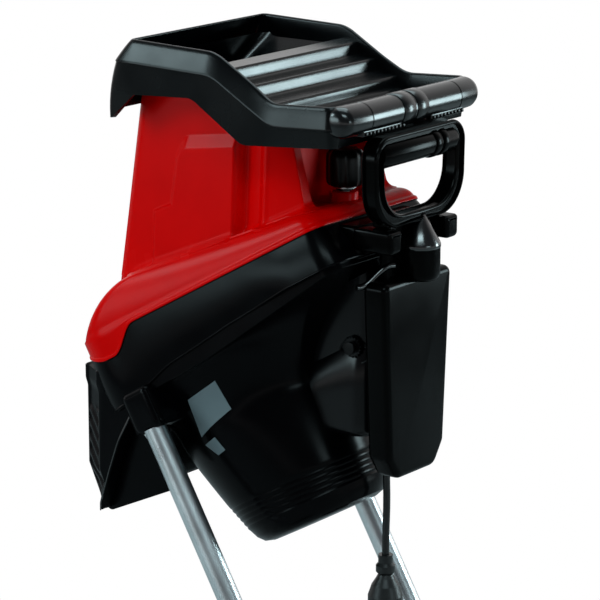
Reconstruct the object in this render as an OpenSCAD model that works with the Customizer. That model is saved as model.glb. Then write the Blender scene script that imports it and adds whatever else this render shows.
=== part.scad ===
// Electric garden shredder: tilted knife disc, feed hopper, push stick and wheeled tube frame.
// Millimetres. +X left side, +Y rear, +Z up, origin under the middle of the machine on the floor.

/* [Machine] */
// slope of the knife disc and of the legs in degrees
tilt = 30; // [28:0.5:32]
// height of the disc axis where it meets the parting line
disc_z = 631; // [615:1:650]
// distance of that point ahead of the origin
disc_ahead = 116; // [108:1:124]

/* [Lower casing] */
// half width of the casing at the front
casing_front_hw = 142; // [138:1:146]
// half width of the casing at the rear
casing_rear_hw = 98; // [94:1:102]
// casing length ahead of the disc axis
casing_front = 106; // [105:0.5:109]
// casing length behind the disc axis
casing_rear = 233; // [230:1:236]
// radius of the front corners
casing_front_r = 45; // [35:1:55]
// radius of the rear corners
casing_rear_r = 18; // [14:1:24]
// depth of the side belt at the front
belt_front = 80; // [74:1:84]
// depth of the side belt at the rear
belt_rear = 46; // [46:1:52]
// wall of the lower casing
casing_wall = 4; // [3:0.5:5]
// depth of the chamber floor under the parting line
floor_depth = 40; // [39:0.5:41]
// inside radius of the disc chamber
chamber_r = 97.5; // [97:0.25:99]

/* [Upper casing] */
// wall of the upper casing
lid_wall = 3.5; // [3:0.25:4]
// height of the cover above the parting line at the front
lid_rise_front = 48; // [44:1:54]
// height of the cover at the rear
lid_rise_rear = 25; // [22:1:28]
// depth of the corner tabs that hang over the lower casing
tab_drop = 22; // [18:1:24]
// half width of the feed tower at the top
tower_top_hw = 82; // [79:1:85]
// half width of the feed tower at its base
tower_base_hw = 97; // [92:1:102]
// height of the tower top above the disc axis
tower_rise = 237; // [234:1:240]
// front of the tower at the top
tower_top_front = -160; // [-162:1:-158]
// front of the tower at its base
tower_base_front = -190; // [-192:1:-186]
// rear of the feed duct inside the tower
duct_rear = -26; // [-28:1:-24]
// rear of the two side wings that flank the knob
wing_rear = 48; // [44:1:50]
// drop of the wings under the tower top
wing_drop = 32; // [28:1:36]
// half width of the niche between the wings
niche_hw = 56; // [52:1:58]
// radius of the tower's front corners
tower_r = 18; // [14:1:22]

/* [Hopper] */
// half width of the hopper
hopper_hw = 124; // [118:1:130]
// wall of the hopper
hopper_wall = 3; // [2.5:0.25:3.5]
// height of the front rim above the tower top
funnel_h = 57; // [52:1:62]
// height of the low rear rim above the tower top
platform_rise = 11; // [8:1:14]
// depth of the deck under the rim
deck_drop = 22; // [18:1:25]
// number of steps on the ramp
steps = 3; // [2:1:4]

/* [Carry handle] */
// radius of the handle bar
bar_r = 16.5; // [15:0.5:17.5]
// distance of the bar behind the origin
bar_y = 140; // [139:0.5:142]
// drop of the bar under the low rear rim
bar_drop = 14; // [12:0.5:15]
// radius of the two grip rings
ring_r = 19; // [18.5:0.25:20]
// width of each grip ring
ring_w = 11; // [8:1:14]
// distance between the ring centres
ring_span = 26; // [20:1:32]

/* [Locking knob] */
// distance of the knob behind the origin
knob_y = 54; // [52:0.5:56]
// room between the boss and the knob
knob_gap = 7; // [6:0.5:9]
// height of the knob
knob_h = 38; // [34:1:40]
// radius of the knob
knob_r = 20; // [17:0.5:22]
// radius of the knob's finger hollows
knob_cut_r = 5; // [4:0.5:6]
// radius of the boss under the knob
boss_r = 14; // [12:0.5:16]
// height of the boss above the cover
boss_rise = 12; // [10:0.5:14]
// radius of the spindle
spindle_r = 5; // [4.5:0.25:5.5]
// reach of the spindle under the parting line
spindle_reach = 12; // [10:0.5:13]
// radius of the safety pin
pin_r = 3; // [2.5:0.25:3.5]
// length of the safety pin
pin_len = 40; // [39:0.5:42]

/* [Knife disc] */
// radius of the knife disc
disc_r = 94; // [90:0.5:95]
// thickness of the knife disc
disc_t = 6; // [5:0.5:7]
// depth of the disc top under the parting line
disc_depth = 18; // [17:0.5:20]
// length of each knife
knife_len = 60; // [50:1:62]
// width of each knife
knife_w = 24; // [20:1:28]
// thickness of each knife
knife_t = 4; // [3:0.5:5]
// radius of the knife screws
knife_screw_r = 3; // [2.5:0.25:3.5]

/* [Motor] */
// radius of the motor shaft
shaft_r = 6; // [5:0.25:7]
// radius of the motor bucket at its top
bucket_top_r = 95; // [90:1:98]
// radius of the motor bucket at its foot
bucket_foot_r = 80; // [76:1:84]
// depth of the bucket top under the parting line
bucket_top = 140; // [136:1:146]
// depth of the bucket foot under the parting line
bucket_foot = 267; // [262:1:272]
// wall of the motor housing
motor_wall = 3; // [2.5:0.25:3.5]
// outside radius of the stator
stator_r = 62; // [58:1:65]
// radius of the armature
armature_r = 31; // [28:0.5:34]
// gap between armature and stator
air_gap = 1; // [0.5:0.1:1.5]
// length of the stator and the armature
core_len = 60; // [50:1:62]
// radius of the cooling fan
fan_r = 55; // [50:1:57]
// radius of the upper bearing
bearing_top_r = 16; // [15:0.5:17]
// radius of the lower bearing
bearing_low_r = 11; // [10:0.5:12]

/* [Discharge hood] */
// wall of the discharge hood
hood_wall = 3; // [2.5:0.25:3.5]
// half width of the hood's ribbed front part
hood_hw = 138; // [134:1:139]
// half width of the recessed side plates
hood_side_hw = 119; // [117:0.5:120]
// number of slanted ribs on each side
hood_ribs = 5; // [3:1:7]

/* [Frame] */
// radius of the leg tube
tube_r = 11; // [10:0.25:11.5]
// wall of the leg tube
tube_wall = 1.5; // [1.2:0.1:2]
// distance of each leg from the middle
leg_x = 138; // [136:0.5:139]
// bend radius at the foot of the leg
bend_r = 40; // [38:1:42]
// height of the foot run
foot_z = 24; // [22:1:26]
// radius of the leg bolts
leg_bolt_r = 4; // [3:0.25:4.5]

/* [Wheels] */
// wheel radius
wheel_r = 90; // [86:1:94]
// wheel width
wheel_w = 36; // [30:1:40]
// radius of the tyre seat on the rim
rim_r = 66; // [62:1:70]
// axle radius
axle_r = 6; // [5:0.25:7]
// width of the spacer between leg and wheel
spacer_w = 6; // [5:0.5:8]

/* [Push stick] */
// distance of the paddle's front face behind the origin
paddle_y = 120; // [119:0.5:121]
// thickness of the paddle
paddle_t = 30; // [28:1:31]
// half width of the paddle at the top
paddle_hw = 59; // [55:1:63]
// half width of the paddle at the foot
paddle_foot_hw = 47; // [42:1:52]
// height of the paddle's foot
paddle_foot = 475; // [470:1:480]
// height of the paddle's top
paddle_top = 690; // [686:1:694]
// wall of the hollow paddle
paddle_wall = 3; // [2.5:0.25:3.5]
// half width of the neck
neck_hw = 39; // [36:0.5:40]
// half width of the loop handle
loop_hw = 79.5; // [76:0.5:83]
// room between the loop and the handle bar over it
loop_gap = 3; // [2:0.5:4]
// depth of the loop from front to rear
loop_depth = 20; // [18:1:24]

/* [Switch and cord] */
// half width of the switch box
box_hw = 38; // [36:0.5:40]
// rear face of the switch box
box_rear = 112; // [110:0.5:113]
// underside of the switch box
box_foot = 510; // [506:1:514]
// top of the switch box
box_top = 668; // [664:1:672]
// radius of the on and off buttons
button_r = 9; // [8:0.5:10]
// radius of the cord
cord_r = 4; // [3.5:0.1:4.2]
// radius of the plug body
plug_r = 19; // [17:0.5:21]

/* [Fits] */
// gap between parts that only pass each other
pass_gap = 0.4; // [0.35:0.05:0.5]
// gap between the lid's corner tabs and the casing they swing past
tab_gap = 1.2; // [1:0.1:1.6]
// radial clearance of running fits
run_fit = 0.05; // [0.03:0.01:0.08]

/* [Hidden] */
$fn = 64;
big = 400;
st = sin(tilt);
ct = cos(tilt);

// heights that follow from one another, bottom to top
tower_top = disc_z + tower_rise;
wing_top = tower_top - wing_drop;
rim_z = tower_top + funnel_h;
platform_z = tower_top + platform_rise;
bar_z = platform_z - bar_drop;
loop_top = bar_z - bar_r - loop_gap;

// hinge axis in the disc frame
hinge_y = -casing_front - 10;
hinge_z = -28;
hinge_r = 8;
hinge_pin_r = 4;
lug_in = 62;
lug_w = 23;
knuckle_in = lug_in + lug_w + 1;
knuckle_w = 22;

// parting land
tab_start = -38;
land = lid_wall + tab_gap + casing_wall;
floor_t = 4;
screw_r = 2;
slot_hw = 58;

// legs in the disc frame
leg_y = -41;
leg_top = -112;
lug_t = 16;
lug_x = 118;
lug_hw = 19;
leg_end = (disc_z + leg_y * st - foot_z - bend_r * (1 + st)) / ct;
bend_y = -disc_ahead + leg_y * ct + leg_end * st - bend_r * ct;
axle_t = (disc_z + leg_y * st - wheel_r) / ct;
axle_y = -disc_ahead + leg_y * ct + axle_t * st;
foot_front = -(axle_y + wheel_r);
cap_len = 30;
cap_face = 8;
cap_wall = 3;

// wheels
wheel_in = leg_x + tube_r + spacer_w + 0.5;
wheel_out = wheel_in + wheel_w;
axle_half = wheel_out + 7;

// motor, depths in the disc frame
core_z = -200;
shaft_foot = -bucket_foot + 9;
sleeve_wall = 3;

// knob on the sloping ledge of the cover
ledge_y = -10;
lid_fall = atan((lid_rise_front - lid_rise_rear) / (casing_rear - 30));
washer_t = 3;
parting_at_knob = disc_z + (knob_y + disc_ahead) * tan(tilt);
ledge_at_knob = disc_z + ledge_y * st + lid_rise_front * ct
    + (knob_y + disc_ahead - ledge_y * ct + lid_rise_front * st) * tan(tilt - lid_fall);
boss_top = ledge_at_knob + boss_rise;
knob_z = boss_top + knob_gap;
spindle_tip = parting_at_knob - spindle_reach;
pin_top = spindle_tip - pass_gap;
switch_top = pin_top - pin_len - pass_gap;

// push stick
loop_mid = 142;
loop_limb = 17;
loop_rear = loop_mid + loop_depth / 2;
loop_foot = 2.5;
fork_seat = 2.5;
fork_back_y = -disc_ahead + casing_rear * ct;
fork_back_z = disc_z + casing_rear * st;
fork_top = fork_back_z - fork_seat;
loop_h = loop_top - fork_top - loop_foot;
loop_low_r = loop_h / 2 - 9;
hole_low_r = loop_low_r - 5;
fork_h = 22;
fork_w = 20;
fork_gap = 2;
neck_front = paddle_y + 4;
neck_t = paddle_t - 4;

// cord
cord_x = -8;
cord_y = 104;
plug_top = 372;
bushing_len = 34;
cord_path = [[cord_x, cord_y, box_foot + 6], [cord_x, cord_y, 496], [cord_x, cord_y, 476],
    [cord_x, cord_y + 0.5, 456], [cord_x, cord_y + 1, 440], [cord_x, cord_y + 1, 424],
    [cord_x, cord_y + 0.5, 408], [cord_x, cord_y, 392], [cord_x, cord_y, plug_top - 14]];
cord_sides = 12;

black = [0.06, 0.06, 0.065];
red = [0.78, 0.05, 0.05];
steel = [0.72, 0.73, 0.74];
copper = [0.72, 0.43, 0.22];
iron = [0.35, 0.35, 0.37];

module at_disc() {
    translate([0, -disc_ahead, disc_z]) rotate([tilt, 0, 0]) children();
}

// both sides of the machine
module pair() {
    children();
    mirror([1, 0, 0]) children();
}

// side profile in Y and Z carried from x0 to x1
module side_prism(x0, x1, pts) {
    translate([x0, 0, 0]) rotate([90, 0, 90]) linear_extrude(x1 - x0) polygon(pts);
}

// cylinder along X from x0 to x1
module x_rod(r, x0, x1) {
    translate([x0, 0, 0]) rotate([0, 90, 0]) cylinder(r = r, h = x1 - x0);
}

module ring(r_out, r_in, h) {
    difference() {
        cylinder(r = r_out, h = h);
        translate([0, 0, -1]) cylinder(r = r_in, h = h + 2);
    }
}

// casing outline in the parting plane
module casing_plan(inset) {
    hull() for (s = [-1, 1]) {
        translate([s * (casing_front_hw - casing_front_r), -casing_front + casing_front_r])
            circle(casing_front_r - inset, $fn = 32);
        translate([s * (casing_rear_hw - casing_rear_r), casing_rear - casing_rear_r])
            circle(casing_rear_r - inset, $fn = 32);
    }
}

// everything above a height of the disc frame
module above(z) {
    translate([-big, -big, z]) cube([2 * big, 2 * big, big]);
}

module below(z) {
    translate([-big, -big, z - big]) cube([2 * big, 2 * big, big]);
}

// front corner zone that the lid tabs cover
module tab_zone(grow) {
    for (s = [0, 1]) mirror([s, 0, 0])
        translate([knuckle_in - grow, -big, -tab_drop - grow])
            cube([big, big + tab_start + grow, tab_drop + grow + 1]);
}

module leg_lug() {
    difference() {
        translate([lug_x, leg_y - lug_hw, leg_top]) cube([30, 2 * lug_hw, -leg_top - 72]);
        translate([lug_x + 6, leg_y - lug_hw + 6, leg_top + lug_t]) cube([big, 2 * lug_hw - 12, 22]);
    }
}

module lower_casing() {
    color(black) difference() {
        union() {
            at_disc() {
                difference() {
                    intersection() {
                        translate([0, 0, -belt_front]) linear_extrude(belt_front) casing_plan(0);
                        side_prism(-big, big, [[-big, 0], [-big, -belt_front],
                            [-casing_front, -belt_front], [60, -belt_front + 10],
                            [casing_rear, -belt_rear], [big, -belt_rear], [big, 0]]);
                    }
                    intersection() {
                        translate([0, 0, -belt_front]) linear_extrude(belt_front + 1)
                            difference() {
                                casing_plan(-1);
                                casing_plan(lid_wall + tab_gap);
                            }
                        tab_zone(pass_gap);
                    }
                    translate([0, 0, -floor_depth]) linear_extrude(floor_depth + 1)
                        casing_plan(land);
                    translate([0, 0, -belt_front - 1])
                        linear_extrude(belt_front - floor_depth - floor_t + 1)
                        casing_plan(casing_wall);
                }
                difference() {
                    translate([0, 0, -floor_depth - 1]) ring(chamber_r + 4, chamber_r,
                        floor_depth - 2);
                    translate([-big, -big, -big]) cube([2 * big, big - 60, 2 * big]);
                }
                translate([0, 0, -58]) cylinder(r = bearing_top_r + 4, h = 58 - floor_depth - 1);
                pair() leg_lug();
                pair() hinge_lug();
            }
            difference() {
                translate([0, knob_y, switch_top]) cylinder(r = 16, h = 70);
                at_disc() above(-1);
            }
        }
        at_disc() {
            translate([0, 0, -57]) cylinder(r = bearing_top_r, h = 30);
            translate([0, 0, -60]) cylinder(r = shaft_r + 2, h = 30);
            translate([-slot_hw, -casing_front - 5, -floor_depth + 1])
                cube([2 * slot_hw, 20, floor_depth - 9]);
            pair() translate([leg_x, leg_y, leg_top - 1]) cylinder(r = leg_bolt_r, h = 30);
            pair() hood_screw_place() cylinder(r = screw_r, h = 30, center = true);
            pair() translate([0, hinge_y, hinge_z])
                x_rod(hinge_pin_r, lug_in - 1, lug_in + lug_w + 1);
        }
        translate([-spindle_r - pass_gap, knob_y - 18, pin_top])
            cube([2 * (spindle_r + pass_gap), 18 + spindle_r + pass_gap, 60]);
        translate([0, knob_y, switch_top - 1]) cylinder(r = pin_r + run_fit, h = pin_len + 2);
    }
}

module hinge_lug() {
    translate([0, hinge_y, hinge_z]) x_rod(hinge_r, lug_in, lug_in + lug_w);
    translate([lug_in, hinge_y, hinge_z - hinge_r]) cube([lug_w, 12, 2 * hinge_r]);
}

module hinge_pins() {
    color(steel) at_disc() pair() translate([0, hinge_y, hinge_z])
        x_rod(hinge_pin_r, lug_in - 2, knuckle_in + knuckle_w + 2);
}

// discharge hood, profiles in the machine frame
hood_front = -206;
hood_top = disc_z - 98;
hood_brow = disc_z - 60;
hood_face = 65;
hood_knee = hood_top - hood_face;
hood_lip = hood_knee - 66;
rib_pitch = hood_face / hood_ribs;
hood_plate = 3;
belt_foot_y = -disc_ahead - casing_front * ct + belt_front * st;
belt_foot_z = disc_z - casing_front * st - belt_front * ct;
belt_up = tan(tilt + atan(10 / (casing_front + 60)));

function belt_line(y) = belt_foot_z + (y - belt_foot_y) * belt_up;

module hood_plan(inset) {
    translate([0, 0, 300]) linear_extrude(400) polygon([[-118 + inset, hood_front],
        [118 - inset, hood_front], [hood_hw - inset, hood_front + 25], [hood_hw - inset, 0],
        [-hood_hw + inset, 0], [-hood_hw + inset, hood_front + 25]]);
}

module discharge_hood() {
    w = hood_wall;
    color(black) difference() {
        union() {
            difference() {
                side_prism(-hood_side_hw, hood_side_hw, [[hood_front, hood_top],
                    [hood_front, hood_knee], [hood_front + 24, hood_lip], [-85, hood_lip + 43],
                    [-97, belt_line(-97)], [belt_foot_y, belt_foot_z], [-186, hood_top]]);
                side_prism(-hood_side_hw + w, hood_side_hw - w, [[hood_front + w, 600],
                    [hood_front + w, hood_knee + 0.7], [hood_front + 28, hood_lip - 2],
                    [hood_front + 28, hood_lip - 52], [0, hood_lip - 52], [0, 600]]);
            }
            difference() {
                intersection() {
                    side_prism(-hood_hw, hood_hw, [[hood_front, hood_top],
                        [hood_front, hood_knee], [hood_front + 39, hood_lip + 5], [-128, 514],
                        [-112, belt_line(-112)], [belt_foot_y, belt_foot_z], [-186, hood_top]]);
                    hood_plan(0);
                }
                intersection() {
                    side_prism(-hood_hw + w, hood_hw - w, [[hood_front + w, 600],
                        [hood_front + w, hood_knee + 1.5], [hood_front + 38, hood_lip + 15],
                        [-131.5, 514.5],
                        [-115.5, 547], [-115.5, 600]]);
                    hood_plan(w);
                }
                side_prism(-hood_side_hw + w, hood_side_hw - w, [[hood_front + w, 600],
                    [hood_front + w, hood_knee + 0.7], [hood_front + 28, hood_lip - 2],
                    [hood_front + 28, hood_lip - 52], [0, hood_lip - 52], [0, 600]]);
            }
            side_prism(-slot_hw, slot_hw, [[hood_front, hood_top - 1], [hood_front, hood_brow],
                [hood_front + w, hood_brow + 2], [hood_front + w, hood_top - 1]]);
            at_disc() translate([-hood_side_hw + 1, -casing_front - hood_plate, -belt_front])
                cube([2 * hood_side_hw - 2, hood_plate, belt_front - 46]);
            pair() for (i = [0 : hood_ribs - 1])
                translate([118, hood_front, hood_knee - 4 + i * rib_pitch]) rotate([0, 0, 51])
                    rotate([0, 24, 0]) translate([2, -1.5, 0]) cube([26, 2.5, 4]);
        }
        at_disc() {
            translate([-big, -casing_front, -belt_front]) cube([2 * big, big, big]);
            pair() translate([0, hinge_y, hinge_z])
                x_rod(hinge_r + 2, lug_in - 4, knuckle_in + knuckle_w + 4);
            pair() hood_screw_place() cylinder(r = screw_r, h = 30, center = true);
            pair() translate([lug_x - pass_gap, leg_y - lug_hw - pass_gap, leg_top - pass_gap])
                cube([big, 2 * (lug_hw + pass_gap), big]);
        }
    }
}

// screws through the hood's rear plate into the front wall of the casing
module hood_screw_place() {
    translate([40, -casing_front - hood_plate, -62]) rotate([-90, 0, 0]) children();
}

module hood_screws() {
    color(steel) at_disc() pair() hood_screw_place() screw();
}

module bowl(inset) {
    hull() {
        translate([0, 0, -62 + inset]) linear_extrude(62 - floor_depth - floor_t - inset)
            hull() for (s = [-1, 1]) {
                translate([s * 65, -42]) circle(48 - inset, $fn = 32);
                translate([s * 50, 180]) circle(30 - inset, $fn = 32);
            }
        translate([0, 0, -bucket_top]) cylinder(r = bucket_top_r - inset, h = 2, $fn = 64);
    }
}

module bucket(inset) {
    rotate_extrude() polygon([[0, -bucket_foot + inset], [bucket_foot_r - 14, -bucket_foot + inset],
        [bucket_foot_r - inset, -bucket_foot + 14], [bucket_top_r - inset, -bucket_top + 1],
        [0, -bucket_top + 1]]);
}

module motor_housing() {
    color(black) at_disc() difference() {
        union() {
            difference() {
                union() {
                    bowl(0);
                    bucket(0);
                }
                bowl(motor_wall);
                bucket(motor_wall);
                translate([0, 0, -floor_depth - floor_t - 8]) linear_extrude(10)
                    square([120, 120], center = true);
                translate([0, 100, -floor_depth - floor_t - 8]) linear_extrude(10)
                    square([90, 160], center = true);
            }
            translate([0, 0, -bucket_foot + motor_wall])
                ring(stator_r + sleeve_wall, stator_r, 136);
            translate([0, 0, -bucket_foot + 1]) cylinder(r = bearing_low_r + 4, h = 18);
        }
        translate([0, 0, shaft_foot]) cylinder(r = bearing_low_r, h = 40);
        for (a = [0 : 30 : 330]) rotate([0, 0, a]) translate([28, -3, -bucket_foot - 1])
            cube([24, 6, 6]);
    }
}

module stator() {
    color(iron) at_disc() translate([0, 0, core_z])
        ring(stator_r, armature_r + air_gap, core_len);
}

module field_coils() {
    color(copper) at_disc() {
        translate([0, 0, core_z + core_len]) ring(stator_r - 4, armature_r + 5, 14);
        translate([0, 0, core_z - 14]) ring(stator_r - 4, armature_r + 5, 14);
    }
}

module brushes() {
    color(iron) at_disc() intersection() {
        pair() translate([16 + pass_gap, -5, core_z - 25]) cube([60, 10, 8]);
        translate([0, 0, core_z - 40]) cylinder(r = stator_r, h = 60);
    }
}

module bearing_upper() {
    color(steel) at_disc() translate([0, 0, -57]) ring(bearing_top_r, shaft_r + run_fit, 11);
}

module bearing_lower() {
    color(steel) at_disc() translate([0, 0, shaft_foot])
        ring(bearing_low_r, shaft_r + run_fit, 10);
}

// one leg tube on the left side, a little swollen around its bend
bend_swell = 0.2;
bend_lap = 1;

module tube(r) {
    translate([leg_x, bend_y, foot_z + bend_r]) rotate([tilt, 0, 0]) translate([0, bend_r, -bend_lap])
        cylinder(r = r, h = leg_end + leg_top + bend_lap);
    translate([leg_x, bend_y, foot_z + bend_r]) rotate([90, 0, 90]) rotate([0, 0, -90])
        rotate_extrude(angle = 90 + tilt) translate([bend_r, 0]) circle(r + bend_swell);
    translate([leg_x, bend_y + bend_lap, foot_z]) rotate([90, 0, 0])
        cylinder(r = r, h = bend_y + bend_lap - foot_front - cap_face);
}

module leg_left() {
    color(steel) difference() {
        tube(tube_r);
        tube(tube_r - tube_wall);
        translate([0, axle_y, wheel_r]) x_rod(axle_r, 100, 180);
    }
}

module leg_right() {
    mirror([1, 0, 0]) leg_left();
}

module leg_plugs() {
    color(black) at_disc() pair() translate([leg_x, leg_y, leg_top - 34])
        ring(tube_r - tube_wall, leg_bolt_r, 34);
}

module leg_bolts() {
    color(steel) at_disc() pair() translate([leg_x, leg_y, leg_top]) {
        translate([0, 0, lug_t]) cylinder(r = leg_bolt_r + 3.5, h = 6, $fn = 6);
        translate([0, 0, -28]) cylinder(r = leg_bolt_r, h = lug_t + 28.5);
    }
}

module cross_tube() {
    color(steel) translate([0, foot_front + 60, foot_z]) difference() {
        x_rod(tube_r, -leg_x, leg_x);
        x_rod(tube_r - tube_wall, -leg_x - 1, leg_x + 1);
        pair() translate([leg_x, -50, 0]) rotate([-90, 0, 0]) cylinder(r = tube_r, h = 100);
    }
}

module foot_caps() {
    color(black) pair() translate([leg_x, foot_front, foot_z]) difference() {
        union() {
            rotate([-90, 0, 0]) cylinder(r = tube_r + cap_wall, h = cap_len);
            translate([-tube_r - cap_wall, 0, -foot_z])
                cube([2 * (tube_r + cap_wall), cap_len, foot_z]);
        }
        translate([0, cap_face, 0]) rotate([-90, 0, 0]) cylinder(r = tube_r, h = cap_len);
    }
}

module axle() {
    color(steel) translate([0, axle_y, wheel_r]) x_rod(axle_r, -axle_half, axle_half);
}

module axle_spacers() {
    color(black) pair() difference() {
        translate([leg_x, axle_y, wheel_r]) difference() {
            x_rod(axle_r + 4, 0, tube_r + spacer_w);
            x_rod(axle_r, -1, tube_r + spacer_w + 1);
        }
        tube(tube_r + run_fit);
    }
}

module axle_caps() {
    color(black) pair() translate([0, axle_y, wheel_r]) difference() {
        x_rod(axle_r + 8, wheel_out + 0.5, axle_half + 3);
        x_rod(axle_r, wheel_out, axle_half);
    }
}

module hub() {
    color(black) translate([wheel_in, axle_y, wheel_r]) difference() {
        union() {
            x_rod(axle_r + 11, 0, wheel_w);
            x_rod(rim_r, wheel_w / 2 - 2, wheel_w / 2 + 2);
            difference() {
                x_rod(rim_r, 4, wheel_w - 4);
                x_rod(rim_r - 6, 3, wheel_w - 3);
            }
        }
        x_rod(axle_r + run_fit, -1, wheel_w + 1);
        for (a = [0 : 60 : 300]) rotate([a, 0, 0]) translate([0, 38, 0]) x_rod(11, 0, wheel_w);
    }
}

module tyre() {
    color([0.03, 0.03, 0.03]) translate([wheel_in + wheel_w / 2, axle_y, wheel_r])
        rotate([0, 90, 0]) rotate_extrude() polygon([[rim_r, -wheel_w / 2 + 4],
            [rim_r + 6, -wheel_w / 2 + 1], [wheel_r - 10, -wheel_w / 2 + 1],
            [wheel_r - 3, -wheel_w / 2 + 6], [wheel_r, -wheel_w / 2 + 12],
            [wheel_r, wheel_w / 2 - 12], [wheel_r - 3, wheel_w / 2 - 6],
            [wheel_r - 10, wheel_w / 2 - 1], [rim_r + 6, wheel_w / 2 - 1],
            [rim_r, wheel_w / 2 - 4]]);
}

module hub_left() {
    hub();
}

module hub_right() {
    mirror([1, 0, 0]) hub();
}

module tyre_left() {
    tyre();
}

module tyre_right() {
    mirror([1, 0, 0]) tyre();
}

// cover over the disc, in the disc frame
module cover(inset) {
    hull() {
        for (s = [-1, 1]) {
            translate([s * (casing_front_hw - casing_front_r), -casing_front + casing_front_r,
                pass_gap]) cylinder(r = casing_front_r - inset, h = 14 - inset, $fn = 32);
            translate([s * (casing_rear_hw - casing_rear_r), casing_rear - casing_rear_r,
                pass_gap]) cylinder(r = casing_rear_r - inset, h = 10 - inset, $fn = 32);
        }
        translate([0, ledge_y, lid_rise_front - inset]) rotate([-lid_fall, 0, 0])
            for (s = [-1, 1]) {
                translate([s * (casing_front_hw - 60), 18, -2])
                    cylinder(r = 38 - inset, h = 2, $fn = 32);
                translate([s * (casing_rear_hw - 26), casing_rear - 24, -2])
                    cylinder(r = 14 - inset, h = 2, $fn = 32);
            }
    }
}

wing_r = 6;

module tower_slab(hw, front, rear, r_rear, z, inset) {
    for (s = [-1, 1]) {
        translate([s * (hw - tower_r), front + tower_r, z])
            cylinder(r = tower_r - inset, h = 2, $fn = 32);
        translate([s * (hw - r_rear), rear - r_rear, z])
            cylinder(r = r_rear - inset, h = 2, $fn = 32);
    }
}

// tower down to a slab inside the cover
module tower(rear, r_rear, inset, up) {
    hull() {
        tower_slab(tower_top_hw, tower_top_front, rear, r_rear, tower_top - 2 + up, inset);
        tower_slab(tower_base_hw, tower_base_front, rear, r_rear, 600, inset);
    }
}

// room behind the feed duct: niche for the knob and the hollow wings
module tower_rooms() {
    translate([-niche_hw, 4, 500]) cube([2 * niche_hw, big, big]);
    translate([-niche_hw, duct_rear + 0.5, 500])
        cube([2 * niche_hw, 4 - lid_wall - duct_rear - 0.5, wing_top - lid_wall - 500]);
    pair() translate([niche_hw + lid_wall, duct_rear + 0.5, 500])
        cube([tower_top_hw - 2 * lid_wall - niche_hw, wing_rear - lid_wall - duct_rear - 0.5,
            wing_top - lid_wall - 500]);
    translate([-big, duct_rear, wing_top]) cube([2 * big, big, big]);
}

// embossed panel on each side of the tower
module tower_panel() {
    lean = atan((tower_base_hw - tower_top_hw) / (tower_top - 600));
    translate([tower_base_hw, 0, 600]) rotate([0, -lean, 0])
        side_prism(-5, 4, [[-134, 40], [-134, 136], [-112, 146], [-98, 216], [-84, 224],
            [duct_rear, 232], [duct_rear, 60]]);
}

module upper_casing() {
    color(red) difference() {
        union() {
            at_disc() {
                difference() {
                    cover(0);
                    translate([0, 0, -0.5]) cover(lid_wall);
                }
                intersection() {
                    translate([0, 0, -tab_drop]) linear_extrude(tab_drop + 2) difference() {
                        casing_plan(0);
                        casing_plan(lid_wall);
                    }
                    tab_zone(0);
                }
                pair() lid_knuckle();
            }
            translate([0, knob_y, ledge_at_knob - 12]) cylinder(r = boss_r, h = boss_rise + 12);
        }
        tower(duct_rear, tower_r, 0, 4);
        translate([0, knob_y, spindle_tip - 10])
            cylinder(r = spindle_r + run_fit, h = boss_top - spindle_tip + 20);
        at_disc() pair() translate([0, hinge_y, hinge_z])
            x_rod(hinge_pin_r + run_fit, knuckle_in - 1, knuckle_in + knuckle_w + 1);
    }
}

// feed tower: its duct reaches through the cover, its wings stand on it
module feed_tower() {
    color(red) difference() {
        union() {
            difference() {
                union() {
                    tower(wing_rear, wing_r, 0, 0);
                    pair() tower_panel();
                }
                tower_rooms();
                at_disc() {
                    cover(0);
                    below(5);
                }
            }
            difference() {
                tower(duct_rear, tower_r, 0, 0);
                at_disc() below(5);
            }
        }
        tower(duct_rear, tower_r, lid_wall, 4);
        hopper_screw_places() cylinder(r = screw_r, h = 30, center = true);
    }
}

module lid_knuckle() {
    translate([0, hinge_y, hinge_z]) x_rod(hinge_r, knuckle_in, knuckle_in + knuckle_w);
    side_prism(knuckle_in, knuckle_in + knuckle_w, [[hinge_y - hinge_r, hinge_z],
        [hinge_y + hinge_r - 1, hinge_z], [-casing_front - pass_gap, hinge_z + 6],
        [-casing_front - pass_gap, -tab_drop], [-casing_front + 2, -tab_drop],
        [-casing_front + 2, 12], [hinge_y - 2, 4], [hinge_y - hinge_r, -8]]);
}

// hopper, profiles in the machine frame
rim_front = -134;
rim_back = -32;
ramp_foot = 45;
hopper_rear = bar_y - 16;
skirt_front = -169;
skirt_mid = tower_top_front - pass_gap - hopper_wall;

module hopper_funnel(inset) {
    hull() {
        translate([-hopper_hw + hopper_wall + inset, rim_front - 4 + inset, rim_z - 4])
            cube([2 * (hopper_hw - hopper_wall - inset), rim_back - rim_front + 4 - 2 * inset,
                inset > 0 ? 5 : 1]);
        translate([-tower_top_hw + inset, tower_top_front + inset, tower_top - inset / 3])
            cube([2 * (tower_top_hw - inset), duct_rear - tower_top_front - 2 * inset, 1]);
    }
}

// stepped deck of the ramp and the platform
step_y = (ramp_foot - rim_back) / steps;
step_z = (rim_z - platform_z - 2) / steps;

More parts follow.
